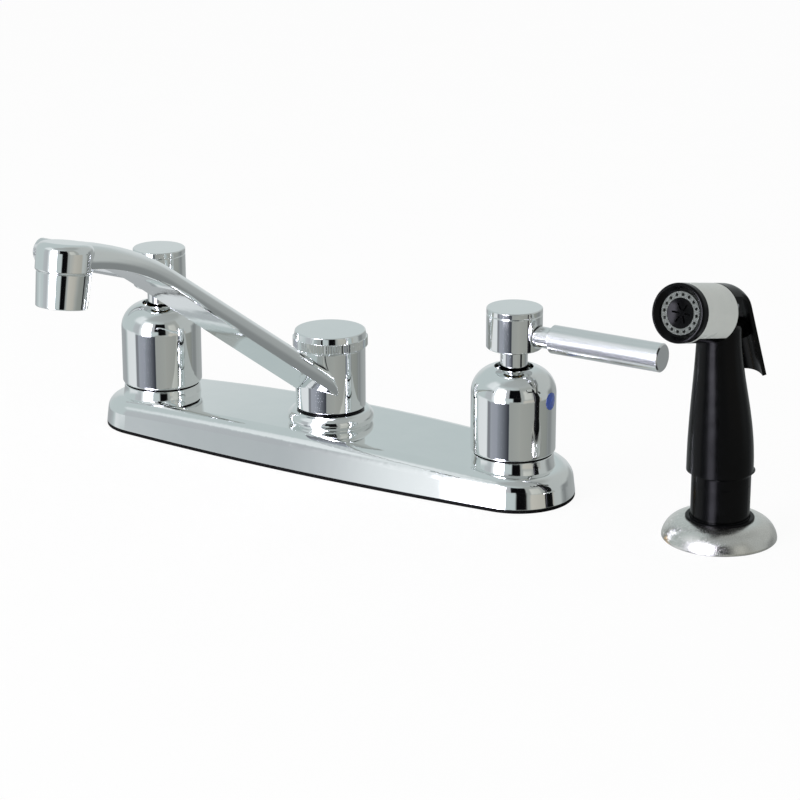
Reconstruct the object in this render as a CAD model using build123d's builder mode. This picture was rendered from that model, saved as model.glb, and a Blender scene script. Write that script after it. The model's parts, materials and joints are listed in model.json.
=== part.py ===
"""Two-handle kitchen faucet with a swing spout and a side sprayer in its own flange.

Frame: origin on the deck surface, on the spout's swivel axis, +X to the right (cold side),
-Y towards the person at the sink (the spout points that way), +Z up. Millimetres and degrees.
"""

import os
from math import asin, cos, radians, sin, sqrt, tan

from build123d import *

# ---------------------------------------------------------------- driving dimensions

# Clearances.
SEAT_GAP = 0.05  # between parts of one body that screw or push together
RUNNING_GAP = 0.06  # radial, between a turning part and what it turns in
FACE_GAP = 0.15  # between flat faces that turn or slide past each other
FREE_GAP = 0.4  # between bodies that never touch
JOIN = 1.0  # overlap of two volumes that make one piece, and of a cut past a face

# Deck plate and gasket.
VALVE_SPACING = 203.2  # the 8-inch centres of the outer deck holes
PLATE_LENGTH = 261.0
PLATE_FRONT = 31.2  # from the holes' line to the front edge
PLATE_BACK = 37.0  # and to the back edge
PLATE_SIDE_RADIUS = 1190.0  # the bow of the long sides
PLATE_TOP = 18.7
PLATE_END_FALL = 2.6  # the top arches down by this much at the valves
PLATE_DRAFT = 7.0
PLATE_SHOULDER = 7.5
PLATE_WALL = 2.2
GASKET_THICKNESS = 1.7
VALVE_BOSS_FOOT_RADIUS = 20.4
VALVE_BOSS_WAIST_RADIUS = 19.4
VALVE_BOSS_TOP_RADIUS = 19.0
VALVE_BOSS_HEIGHT = 5.0
VALVE_BOSS_DEPTH = 2.4  # how far its foot runs down into the plate
HUB_RING_FOOT_RADIUS = 19.9
HUB_RING_RADIUS = 20.95
HUB_RING_TOP_RADIUS = 17.6
HUB_RING_HEIGHT = 6.5
HUB_RING_DEPTH = 2.4

# Brass bodies under the plate.
SHANK_RADIUS = 10.9  # thread for the mounting nut
SUPPLY_RADIUS = 10.45  # half-inch straight pipe thread for the supply line
SUPPLY_THREAD_LENGTH = 34.0
SHANK_BOTTOM = -60.0
SHANK_BORE_RADIUS = 6.5
VALVE_FLANGE_RADIUS = 14.0
VALVE_THREAD_RADIUS = 11.2
VALVE_BODY_TOP = 38.0
CARTRIDGE_BORE_RADIUS = 8.4
CARTRIDGE_SEAT = -2.0
BRASS_HEADROOM = 0.5  # between the brass flanges and the plate's underside
TUBE_RADIUS = 4.6
TUBE_BORE_RADIUS = 3.0
TUBE_HEIGHT = 7.1
TUBE_SOCKET_DEPTH = 4.0
CENTRE_BLOCK_RADIUS = 14.0
POST_RADIUS = 11.0
POST_TOP = 55.5
POST_STUD_RADIUS = 7.0
POST_STUD_TOP = 61.5
SPRAYER_OUTLET_RADIUS = 6.6
SPRAYER_OUTLET_BORE_RADIUS = 3.6
SPRAYER_OUTLET_BOTTOM = -38.0
SPRAYER_THREAD_LENGTH = 24.0
SPRAYER_NECK_RADIUS = 7.4
DIVERTER_BORE_RADIUS = 6.2
DIVERTER_BORE_TOP = 36.0
DIVERTER_FLOOR = 16.0
DIVERTER_TOP_BORE_RADIUS = 2.9
POST_PORT_RADIUS = 2.6
POST_PORT_HEIGHT = 43.0
O_RING_SECTION_RADIUS = 0.95
O_RING_HEIGHTS = (33.0, 51.0)
HOLE_CLEARANCE = 0.5  # radial, where a body passes a hole in the plate or the gasket

# Deck clamping.
DECK_THICKNESS = 12.0
SHANK_WASHER_RADIUS = 20.0
SHANK_WASHER_THICKNESS = 1.6
SHANK_NUT_RADIUS = 17.5
SHANK_NUT_THICKNESS = 9.0

# Cartridge: housing, discs, seal and stem.
SEAL_THICKNESS = 2.0
SEAL_HOLE_RADIUS = 3.6
CHAMBER_RADIUS = 7.4
CHAMBER_TOP = 12.0
FIXED_DISC_THICKNESS = 2.5
MOVING_DISC_THICKNESS = 2.0
DISC_PORT_RADIUS = 1.9
DISC_PORT_OFFSET = 4.2
STEM_RADIUS = 4.5
STEM_FOOT_RADIUS = 6.5
STEM_FOOT_THICKNESS = 2.2
STEM_TOP = 73.8
STEM_SCREW_BOTTOM = 63.0
HOUSING_HEX_RADIUS = 10.8
HOUSING_HEX_THICKNESS = 4.0
HOUSING_NECK_RADIUS = 7.4
HOUSING_TOP = 57.3
CARTRIDGE_PORT_RADIUS = 2.6

# Bell covers.
BELL_RADIUS = 19.85
BELL_FOOT_RADIUS = 18.6
BELL_FOOT_ROUND = 1.4
BELL_SEAL_RADIUS = 18.2
BELL_SEAL_THICKNESS = 0.9
BELL_SHOULDER_HEIGHT = 50.1
BELL_SHOULDER_RADIUS = 12.5
BELL_HOLE_RADIUS = 9.1
BELL_WALL = 1.8
BELL_WEB_BOTTOM = 28.0
BELL_WEB_TOP = 33.0
DOT_RADIUS = 4.0
DOT_HEIGHT = 48.7
DOT_THICKNESS = 0.7
DOT_PROUD = 0.12

# Handles.
HANDLE_RADIUS = 13.0
HANDLE_BOTTOM = 71.7
HANDLE_GROOVE_HEIGHT = 87.9
HANDLE_TOP = 90.8
HANDLE_NECK_RADIUS = 6.34
HANDLE_NECK_BOTTOM = 58.0
HANDLE_CHAMFER = 0.4
GROOVE_DEPTH = 0.3
CAP_SPIGOT_RADIUS = 11.2
CAP_SPIGOT_DEPTH = 1.9
SCREW_HEAD_RADIUS = 4.2
SCREW_HEAD_THICKNESS = 3.2
SCREW_SEAT_HEIGHT = 82.0
SCREW_RADIUS = 2.0
SCREW_BOTTOM = 64.0
SCREW_SOCKET_RADIUS = 1.5
SCREW_SOCKET_DEPTH = 2.0
LEVER_HEIGHT = 78.6
LEVER_NECK_RADIUS = 4.9
LEVER_SOCKET_RADIUS = 5.6
LEVER_SOCKET_DEPTH = 1.4
LEVER_GRIP_RADIUS = 6.6
LEVER_INNER_END = 6.0
LEVER_GRIP_START = 20.0
LEVER_REACH = 76.1
LEVER_CHAMFER = 0.6

# Spout.
HUB_RADIUS = 16.95
HUB_TOP = 56.3
HUB_EDGE = 0.4
WEAR_RING_RADIUS = 16.3
WEAR_RING_THICKNESS = 1.0
HUB_CHAMBER_RADIUS = 13.4
HUB_CHAMBER_BOTTOM = 39.0
HUB_CHAMBER_TOP = 47.0
ARM_WIDTH = 24.0
ARM_FOOT_HEIGHT = 38.9  # underside where the arm leaves the hub
ARM_FOOT_DEPTH = 13.5  # from there up to the arm's ridge
ARM_RISE = 33.15
ARM_TAPER = 0.55  # how much flatter the ridge rises than the underside
ARM_BEND_RADIUS = 150.0
RIDGE_BEND_EASE = 30.0  # how much wider the ridge bends than the underside
ARM_END_SETBACK = 3.15  # the underside ends this far short of the outlet's seam
RIDGE_END_SETBACK = 1.25
ARM_EDGE_RADIUS = 9.4
ARM_BURIED = 5.4  # how far the arm's root reaches into the hub's wall
ARM_BORE_RADIUS = 3.4
OUTLET_TILT = 9.7
OUTLET_REACH = 197.9  # middle of the seam between the spout and the aerator
OUTLET_SEAM_DROP = 1.83  # how far that seam lies under the end of the arm's underside
OUTLET_RADIUS = 12.1
OUTLET_BLOCK_HEIGHT = 12.2
OUTLET_CROWN_ROUND = 3.6
OUTLET_FOOT_ROUND = 0.9
OUTLET_BORE_RADIUS = 9.4
OUTLET_BORE_DEPTH = 8.0

# Aerator.
AERATOR_TOP_RADIUS = 11.5
AERATOR_BOTTOM_RADIUS = 10.8
AERATOR_LENGTH = 14.8
AERATOR_BORE_RADIUS = 8.4
AERATOR_SPIGOT_LENGTH = 5.0
AERATOR_LEDGE_RADIUS = 7.4
AERATOR_LEDGE_HEIGHT = -9.0
AERATOR_LIP_THICKNESS = 1.5
AERATOR_LIP_FLARE = 1.2
INSERT_THICKNESS = 9.0
INSERT_HOLE_RADIUS = 0.8
INSERT_RING_COUNTS = (6, 12)
INSERT_RING_RADII = (2.6, 5.2)
AERATOR_WASHER_THICKNESS = 1.8
AERATOR_WASHER_HOLE_RADIUS = 5.5

# Knurled spout cap.
CAP_RADIUS = 18.09
CAP_ROOT_RADIUS = 17.6
CAP_KNURLS = 88
CAP_KNURL_BOTTOM = 56.9
CAP_KNURL_TOP = 61.2
CAP_BOTTOM = HUB_TOP + FACE_GAP
CAP_TOP = 64.4
CAP_BAND_RADIUS = 17.4
CAP_TOP_RADIUS = 17.1
CAP_TOP_ROUND = 0.6
CAP_BLIND_CLEARANCE = 0.4

# Diverter.
DIVERTER_BODY_TOP = 27.0
DIVERTER_BODY_BORE_RADIUS = 4.1
DIVERTER_SEAT_RADIUS = 2.5
DIVERTER_SEAT_THICKNESS = 2.0
PLUNGER_HEAD_RADIUS = 4.0
PLUNGER_HEAD_LENGTH = 8.0
PLUNGER_SPIGOT_RADIUS = 2.4
PLUNGER_SPIGOT_LENGTH = 3.0
SPRING_WIRE_RADIUS = 0.35
DIVERTER_SPRING_RADIUS = 3.4
SPRING_TURNS = 6

# Side sprayer: flange and holder.
SPRAYER_X = 208.3
SPRAYER_YAW = -5.8  # the wand stands turned a little in its holder
FLANGE_RADIUS = 25.86
FLANGE_RIM_HEIGHT = 1.2
FLANGE_TOP = 9.5
FLANGE_DOME_INSET = 3.6
FLANGE_DOME_DROP = 2.2
FLANGE_EDGE = 0.4
FLANGE_WALL = 1.6
HOLDER_RIM_RADIUS = 15.5
HOLDER_RIM_THICKNESS = 0.9
HOLDER_SHANK_RADIUS = 14.95
HOLDER_BORE_RADIUS = 13.65
HOLDER_LEDGE_HEIGHT = -20.0
HOLDER_LEDGE_RADIUS = 10.0
HOLDER_BOTTOM = -42.0
HOLDER_NUT_RADIUS = 22.0
HOLDER_NUT_THICKNESS = 8.0

# Wand: the grip tapers and leans forward on one easing curve, lofted through circles.
WAND_FOOT_RADIUS = 13.3
WAND_FOOT_CHAMFER = 1.0
WAND_STEP_HEIGHT = 30.6
WAND_MARKS = (10.5, 26.0)
WAND_MARK_DEPTH = 0.25
GRIP_BOTTOM = 32.2
GRIP_BOTTOM_RADIUS = 14.95
GRIP_TOP = 101.5
GRIP_TOP_RADIUS = 9.7
GRIP_LEAN = 6.6
GRIP_FOOT_LEAN = 1.5
GRIP_EASING = 1.1
GRIP_SECTIONS = 8
WAND_CROWN_ROUND = 3.0
WAND_BORE_RADIUS = 5.0
WAND_BORE_DEPTH = 23.5  # its top under the grip's crown
WAND_UPPER_BORE_RADIUS = 2.6
WAND_UPPER_BORE_LEAN = 6.0

# Sprayer head: its axis tilts up towards the front; depths are measured back from the face.
FACE_REACH = 39.7
FACE_RISE = 11.6  # the middle of the face above the grip's crown
HEAD_TILT = 12.5
HEAD_RADIUS = 13.0
BEZEL_DEPTH = 2.2
BEZEL_PROUD = 2.0  # how far its lip stands in front of the spray face
BEZEL_ROUND = 1.2
BEZEL_DISH_EDGE = 0.7
HEAD_CORE_RADIUS = 11.6
HEAD_BACK = 27.2
BAND_RIM_DEPTH = 4.4
BAND_BOTTOM = -9.6
REAR_BOSS_RADIUS = 7.5
REAR_BOSS_BACK = 35.0
REAR_BOSS_ROUND = 2.5
SPRAY_RING_RADIUS = 9.36
SPRAY_RING_INNER_RADIUS = 6.64
SPRAY_RING_THICKNESS = 8.0
SPRAY_RING_INSET = 0.5
SPRAY_HOLES = 16
SPRAY_HOLE_RADIUS = 0.72
SPRAY_HOLE_CIRCLE = 8.0
NOZZLE_CORE_DISH = 1.2
NOZZLE_SLOT_WIDTH = 0.7
NOZZLE_SLOTS = 6
HEAD_CAVITY_DEPTH = 14.0
HEAD_BORE_RADIUS = 2.2
RISER_LEAN = 9.8

# Sprayer valve across the neck.
VALVE_ROD_DEPTH = 9.5  # under the grip's crown
VALVE_CHAMBER_RADIUS = 4.2
VALVE_CHAMBER_FRONT = -13.6
VALVE_CHAMBER_BACK = -1.0
VALVE_ROD_RADIUS = 2.2
VALVE_ROD_TIP = 9.0
VALVE_HEAD_THICKNESS = 3.0
VALVE_SPRING_RADIUS = 3.3

# Trigger: a gutter-shaped lever, concentric with the head where it starts.
TRIGGER_START = 27.9
TRIGGER_BEND = 36.6
TRIGGER_DROP = 66.2
TRIGGER_TIP_DEPTH = 39.3  # under the middle of the face
TRIGGER_WALL = 1.8
TRIGGER_HALF_ANGLE = 42.0
TRIGGER_BEND_RADIUS = 3.0
PIVOT_DEPTH = 31.2
PIVOT_RISE = 4.4
PIN_RADIUS = 1.2
EAR_RADIUS = 3.6
EAR_INNER = 7.9
EAR_THICKNESS = 1.8
TRIGGER_PAD_FRONT = 9.4
TRIGGER_PAD_WIDTH = 5.0
TRIGGER_PAD_DROP = 1.2  # below the valve rod's axis
TRIGGER_PAD_RISE = 6.0

# Hose coupling under the wand.
COUPLING_SPIGOT_LENGTH = 12.0
COUPLING_RADIUS = 8.0
COUPLING_LENGTH = 12.0
COUPLING_BORE_RADIUS = 3.0

# ---------------------------------------------------------------- derived places

VALVE_X = VALVE_SPACING / 2
SIDES = {"hot": -1, "cold": 1}
VALVE_PLATE_TOP = PLATE_TOP - PLATE_END_FALL
VALVE_BOSS_TOP = VALVE_PLATE_TOP + VALVE_BOSS_HEIGHT
BELL_BOTTOM = VALVE_BOSS_TOP + BELL_SEAL_THICKNESS
HUB_RING_TOP = PLATE_TOP + HUB_RING_HEIGHT
WEAR_RING_TOP = HUB_RING_TOP + WEAR_RING_THICKNESS
HUB_BOTTOM = WEAR_RING_TOP + FACE_GAP
# The brass flanges end under the lowest stretch of arch above them, beyond the valves.
FLANGE_END_FALL = PLATE_END_FALL * (1 + VALVE_FLANGE_RADIUS / VALVE_X) ** 2
BRASS_TOP = PLATE_TOP - FLANGE_END_FALL - PLATE_WALL - BRASS_HEADROOM
HOUSING_BOTTOM = CARTRIDGE_SEAT + SEAL_THICKNESS
MOVING_DISC_BOTTOM = HOUSING_BOTTOM + FIXED_DISC_THICKNESS + 2 * FACE_GAP
STEM_FOOT_BOTTOM = MOVING_DISC_BOTTOM + MOVING_DISC_THICKNESS
NUT_TOP = -DECK_THICKNESS - SHANK_WASHER_THICKNESS
FACE_HEIGHT = GRIP_TOP + FACE_RISE
WAND_BORE_TOP = GRIP_TOP - WAND_BORE_DEPTH
VALVE_ROD_HEIGHT = GRIP_TOP - VALVE_ROD_DEPTH
TRIGGER_TIP_HEIGHT = FACE_HEIGHT - TRIGGER_TIP_DEPTH
TRIGGER_PAD_BOTTOM = VALVE_ROD_HEIGHT - TRIGGER_PAD_DROP
TRIGGER_PAD_TOP = VALVE_ROD_HEIGHT + TRIGGER_PAD_RISE
RIDGE_FOOT_HEIGHT = ARM_FOOT_HEIGHT + ARM_FOOT_DEPTH
RIDGE_RISE = ARM_RISE - ARM_TAPER
RIDGE_BEND_RADIUS = ARM_BEND_RADIUS + RIDGE_BEND_EASE
diagonal = cos(radians(45))  # places the middle of a quarter arc


def upright(x=0.0):
    """Plane for half-sections of what stands on the deck at x: local x is radius, local y height."""
    return Plane(origin=(x, 0, 0), x_dir=(1, 0, 0), z_dir=(0, -1, 0))


def turning_axis(plane):
    return Axis(plane.origin, plane.y_dir)


def closed_face(plane, *steps):
    """Face on a plane through corners (x, y); a pair of points is an arc, through the first to the second."""
    with BuildSketch(plane) as section:
        with BuildLine():
            here = steps[0]
            for step in steps[1:] + steps[:1]:
                if isinstance(step[0], tuple):
                    ThreePointArc(here, *step)
                    here = step[1]
                else:
                    Line(here, step)
                    here = step
        make_face()
    return section.sketch.face()


def save(part, node):
    """Names a finished piece and writes it."""
    part.label = node
    export_step(part, f"parts/{node}.step")


def plate_half(inset, depth):
    """Half of the plate's outline on one side of the holes' line: a shallow arc between two round ends."""
    half_length = PLATE_LENGTH / 2 - inset
    side = abs(depth) - inset
    side_radius = PLATE_SIDE_RADIUS - inset
    side_centre = side - side_radius
    end_radius = (side_radius**2 - half_length**2 - side_centre**2) / (2 * (side_radius - half_length))
    end_centre = half_length - end_radius
    reach = side_radius / (side_radius - end_radius)
    tangent_x = end_centre * reach
    tangent_y = side_centre - side_centre * reach
    middle = end_radius * sin(radians(45))
    way = 1 if depth > 0 else -1
    ThreePointArc((half_length, 0), (end_centre + middle, way * middle), (tangent_x, way * tangent_y))
    ThreePointArc((tangent_x, way * tangent_y), (0, way * side), (-tangent_x, way * tangent_y))
    ThreePointArc((-tangent_x, way * tangent_y), (-end_centre - middle, way * middle), (-half_length, 0))


def plate_outline(inset):
    """Outline of the plate: more of it lies behind the holes' line than in front of it."""
    with BuildSketch(Plane.XY.offset(GASKET_THICKNESS)) as outline:
        with BuildLine():
            plate_half(inset, PLATE_BACK)
            plate_half(inset, -PLATE_FRONT)
        make_face()
    return outline.sketch.face()


def plate_body(inset):
    """The plate's bowed, tapered block under its arched top, with a round shoulder; inset for its cavity."""
    top = PLATE_TOP - inset
    extrude(plate_outline(inset), amount=top + JOIN - GASKET_THICKNESS, taper=PLATE_DRAFT)
    fall_radius = (VALVE_X**2 + PLATE_END_FALL**2) / (2 * PLATE_END_FALL)
    half_length = PLATE_LENGTH / 2 + JOIN
    end_top = top - fall_radius + sqrt(fall_radius**2 - half_length**2)
    arch = closed_face(
        Plane.XZ,
        (-half_length, -JOIN),
        (half_length, -JOIN),
        (half_length, end_top),
        ((0, top), (-half_length, end_top)),
    )
    extrude(arch, amount=PLATE_FRONT + PLATE_BACK, both=True, mode=Mode.INTERSECT)
    # The outline's own edges at the top are those whose middle is above the block's half height.
    rim = [edge for edge in edges() if edge.center().Z > top / 2 + JOIN and edge.length > PLATE_SHOULDER]
    fillet(rim, PLATE_SHOULDER - inset)


def bend_point(reach, height, radius, rise, slope):
    """Point on an arc that starts at (-reach, height) with the slope angle rise and has flattened to slope."""
    y = -reach - radius * (sin(radians(rise)) - sin(radians(slope)))
    z = height + radius * (cos(radians(slope)) - cos(radians(rise)))
    return (y, z)


def bend_start(end_reach, radius, rise, slope):
    """Reach at which an arc must start, to have flattened from rise to slope at the end reach."""
    return end_reach - radius * (sin(radians(rise)) - sin(radians(slope)))


os.makedirs("parts", exist_ok=True)

# ---------------------------------------------------------------- deck plate and gasket

with BuildPart() as plate_cavity:
    plate_body(PLATE_WALL)

with BuildPart() as deck_plate:
    plate_body(0)
    boss_foot = VALVE_PLATE_TOP - VALVE_BOSS_DEPTH
    for x in (-VALVE_X, VALVE_X):
        revolve(
            closed_face(
                upright(x),
                (0, boss_foot),
                (VALVE_BOSS_FOOT_RADIUS, boss_foot),
                (
                    (VALVE_BOSS_WAIST_RADIUS, (boss_foot + VALVE_BOSS_TOP) / 2),
                    (VALVE_BOSS_TOP_RADIUS, VALVE_BOSS_TOP - GROOVE_DEPTH),
                ),
                (VALVE_BOSS_TOP_RADIUS - GROOVE_DEPTH, VALVE_BOSS_TOP),
                (0, VALVE_BOSS_TOP),
            ),
            axis=turning_axis(upright(x)),
        )
    revolve(
        closed_face(
            upright(),
            (0, PLATE_TOP - HUB_RING_DEPTH),
            (HUB_RING_FOOT_RADIUS, PLATE_TOP - HUB_RING_DEPTH),
            (HUB_RING_FOOT_RADIUS, PLATE_TOP),
            (
                (HUB_RING_RADIUS, PLATE_TOP + 0.36 * HUB_RING_HEIGHT),
                (HUB_RING_RADIUS - 1.1, PLATE_TOP + 0.8 * HUB_RING_HEIGHT),
            ),
            ((HUB_RING_TOP_RADIUS + 1.2, HUB_RING_TOP - 0.3), (HUB_RING_TOP_RADIUS, HUB_RING_TOP)),
            (0, HUB_RING_TOP),
        ),
        axis=turning_axis(upright()),
    )
    add(plate_cavity.part, mode=Mode.SUBTRACT)
    with Locations((-VALVE_X, 0, PLATE_TOP), (VALVE_X, 0, PLATE_TOP)):
        Cylinder(VALVE_THREAD_RADIUS + HOLE_CLEARANCE, 2 * PLATE_TOP, mode=Mode.SUBTRACT)
    with Locations((0, 0, PLATE_TOP)):
        Cylinder(POST_RADIUS + HOLE_CLEARANCE, 2 * PLATE_TOP, mode=Mode.SUBTRACT)
save(deck_plate.part, "deck_plate")

with BuildPart() as deck_gasket:
    extrude(plate_outline(0), amount=-GASKET_THICKNESS)
    with Locations((-VALVE_X, 0, 0), (VALVE_X, 0, 0)):
        Cylinder(SHANK_RADIUS + HOLE_CLEARANCE, 4 * GASKET_THICKNESS, mode=Mode.SUBTRACT)
    Cylinder(SPRAYER_NECK_RADIUS + HOLE_CLEARANCE, 4 * GASKET_THICKNESS, mode=Mode.SUBTRACT)
save(deck_gasket.part, "deck_gasket")

# ---------------------------------------------------------------- centre body and cross tubes

with BuildPart() as centre_body:
    revolve(
        closed_face(
            upright(),
            (0, SPRAYER_OUTLET_BOTTOM),
            (SPRAYER_OUTLET_RADIUS, SPRAYER_OUTLET_BOTTOM),
            (SPRAYER_OUTLET_RADIUS, SPRAYER_OUTLET_BOTTOM + SPRAYER_THREAD_LENGTH),
            (SPRAYER_NECK_RADIUS, SPRAYER_OUTLET_BOTTOM + SPRAYER_THREAD_LENGTH),
            (SPRAYER_NECK_RADIUS, GASKET_THICKNESS),
            (CENTRE_BLOCK_RADIUS, GASKET_THICKNESS),
            (CENTRE_BLOCK_RADIUS, BRASS_TOP),
            (POST_RADIUS, BRASS_TOP),
            (POST_RADIUS, POST_TOP),
            (POST_STUD_RADIUS, POST_TOP),
            (POST_STUD_RADIUS, POST_STUD_TOP),
            (0, POST_STUD_TOP),
        ),
        axis=turning_axis(upright()),
    )
    revolve(
        closed_face(
            upright(),
            (0, SPRAYER_OUTLET_BOTTOM),
            (SPRAYER_OUTLET_BORE_RADIUS, SPRAYER_OUTLET_BOTTOM),
            (SPRAYER_OUTLET_BORE_RADIUS, DIVERTER_FLOOR),
            (DIVERTER_BORE_RADIUS, DIVERTER_FLOOR),
            (DIVERTER_BORE_RADIUS, DIVERTER_BORE_TOP),
            (DIVERTER_TOP_BORE_RADIUS, DIVERTER_BORE_TOP),
            (DIVERTER_TOP_BORE_RADIUS, POST_PORT_HEIGHT + 2 * POST_PORT_RADIUS),
            (0, POST_PORT_HEIGHT + 2 * POST_PORT_RADIUS),
        ),
        axis=turning_axis(upright()),
        mode=Mode.SUBTRACT,
    )
    groove_depth = 2 * O_RING_SECTION_RADIUS + SEAT_GAP
    for height in O_RING_HEIGHTS:
        with BuildSketch(Plane.XY.offset(height - O_RING_SECTION_RADIUS - SEAT_GAP)):
            Circle(POST_RADIUS)
            Circle(POST_RADIUS - groove_depth, mode=Mode.SUBTRACT)
        extrude(amount=2 * (O_RING_SECTION_RADIUS + SEAT_GAP), mode=Mode.SUBTRACT)
    for side in SIDES.values():
        with BuildSketch(Plane.YZ):
            with Locations((0, TUBE_HEIGHT)):
                Circle(TUBE_BORE_RADIUS)
        extrude(amount=side * CENTRE_BLOCK_RADIUS, mode=Mode.SUBTRACT)
        with BuildSketch(Plane.YZ.offset(side * (CENTRE_BLOCK_RADIUS - TUBE_SOCKET_DEPTH))):
            with Locations((0, TUBE_HEIGHT)):
                Circle(TUBE_RADIUS + SEAT_GAP)
        extrude(amount=side * 2 * TUBE_SOCKET_DEPTH, mode=Mode.SUBTRACT)
    for plane in (Plane.YZ, Plane.XZ):
        with BuildSketch(plane):
            with Locations((0, POST_PORT_HEIGHT)):
                Circle(POST_PORT_RADIUS)
        extrude(amount=POST_RADIUS, both=True, mode=Mode.SUBTRACT)
save(centre_body.part, "centre_body")

for name, side in SIDES.items():
    inner_end = CENTRE_BLOCK_RADIUS - TUBE_SOCKET_DEPTH
    tube_length = VALVE_X - VALVE_FLANGE_RADIUS + TUBE_SOCKET_DEPTH - inner_end
    with BuildPart() as cross_tube:
        with BuildSketch(Plane.YZ.offset(side * inner_end)):
            with Locations((0, TUBE_HEIGHT)):
                Circle(TUBE_RADIUS)
                Circle(TUBE_BORE_RADIUS, mode=Mode.SUBTRACT)
        extrude(amount=side * tube_length)
    save(cross_tube.part, f"{name}_cross_tube")

with BuildPart() as spout_o_rings:
    for height in O_RING_HEIGHTS:
        with BuildSketch(upright()):
            with Locations((POST_RADIUS - SEAT_GAP / 2 - O_RING_SECTION_RADIUS, height)):
                Circle(O_RING_SECTION_RADIUS)
        revolve(axis=Axis.Z)
save(spout_o_rings.part, "spout_o_rings")

with BuildPart() as spout_wear_ring:
    with BuildSketch(Plane.XY.offset(HUB_RING_TOP)):
        Circle(WEAR_RING_RADIUS)
        Circle(POST_RADIUS + HOLE_CLEARANCE, mode=Mode.SUBTRACT)
    extrude(amount=WEAR_RING_THICKNESS)
save(spout_wear_ring.part, "spout_wear_ring")

# ---------------------------------------------------------------- diverter under the spout

with BuildPart() as diverter_body:
    revolve(
        closed_face(
            upright(),
            (DIVERTER_SEAT_RADIUS, DIVERTER_FLOOR),
            (DIVERTER_BORE_RADIUS - SEAT_GAP, DIVERTER_FLOOR),
            (DIVERTER_BORE_RADIUS - SEAT_GAP, DIVERTER_BODY_TOP),
            (DIVERTER_BODY_BORE_RADIUS, DIVERTER_BODY_TOP),
            (DIVERTER_BODY_BORE_RADIUS, DIVERTER_FLOOR + DIVERTER_SEAT_THICKNESS),
            (DIVERTER_SEAT_RADIUS, DIVERTER_FLOOR + DIVERTER_SEAT_THICKNESS),
        ),
        axis=turning_axis(upright()),
    )
save(diverter_body.part, "diverter_body")

plunger_bottom = DIVERTER_FLOOR + DIVERTER_SEAT_THICKNESS + FACE_GAP
plunger_shoulder = plunger_bottom + PLUNGER_HEAD_LENGTH
with BuildPart() as diverter_plunger:
    revolve(
        closed_face(
            upright(),
            (0, plunger_bottom),
            (PLUNGER_HEAD_RADIUS, plunger_bottom),
            (PLUNGER_HEAD_RADIUS, plunger_shoulder),
            (PLUNGER_SPIGOT_RADIUS, plunger_shoulder),
            (PLUNGER_SPIGOT_RADIUS, plunger_shoulder + PLUNGER_SPIGOT_LENGTH),
            (0, plunger_shoulder + PLUNGER_SPIGOT_LENGTH),
        ),
        axis=turning_axis(upright()),
    )
save(diverter_plunger.part, "diverter_plunger")


def coil(plane, radius, length):
    """A coil spring that stands on a plane, along its normal, with the wire inside its length."""
    height = length - 2 * SPRING_WIRE_RADIUS
    start = plane.offset(SPRING_WIRE_RADIUS).origin
    with BuildLine() as route:
        Helix(pitch=height / SPRING_TURNS, height=height, radius=radius, center=start, direction=plane.z_dir)
    with BuildSketch(Plane(route.line @ 0, z_dir=route.line % 0)) as wire:
        Circle(SPRING_WIRE_RADIUS)
    sweep(wire.sketch.face(), path=route.line, is_frenet=True)


with BuildPart() as diverter_spring:
    coil(
        Plane.XY.offset(plunger_shoulder + SEAT_GAP),
        DIVERTER_SPRING_RADIUS,
        DIVERTER_BORE_TOP - plunger_shoulder - 2 * SEAT_GAP,
    )
save(diverter_spring.part, "diverter_spring")

# ---------------------------------------------------------------- valves, bells and handles

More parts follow.
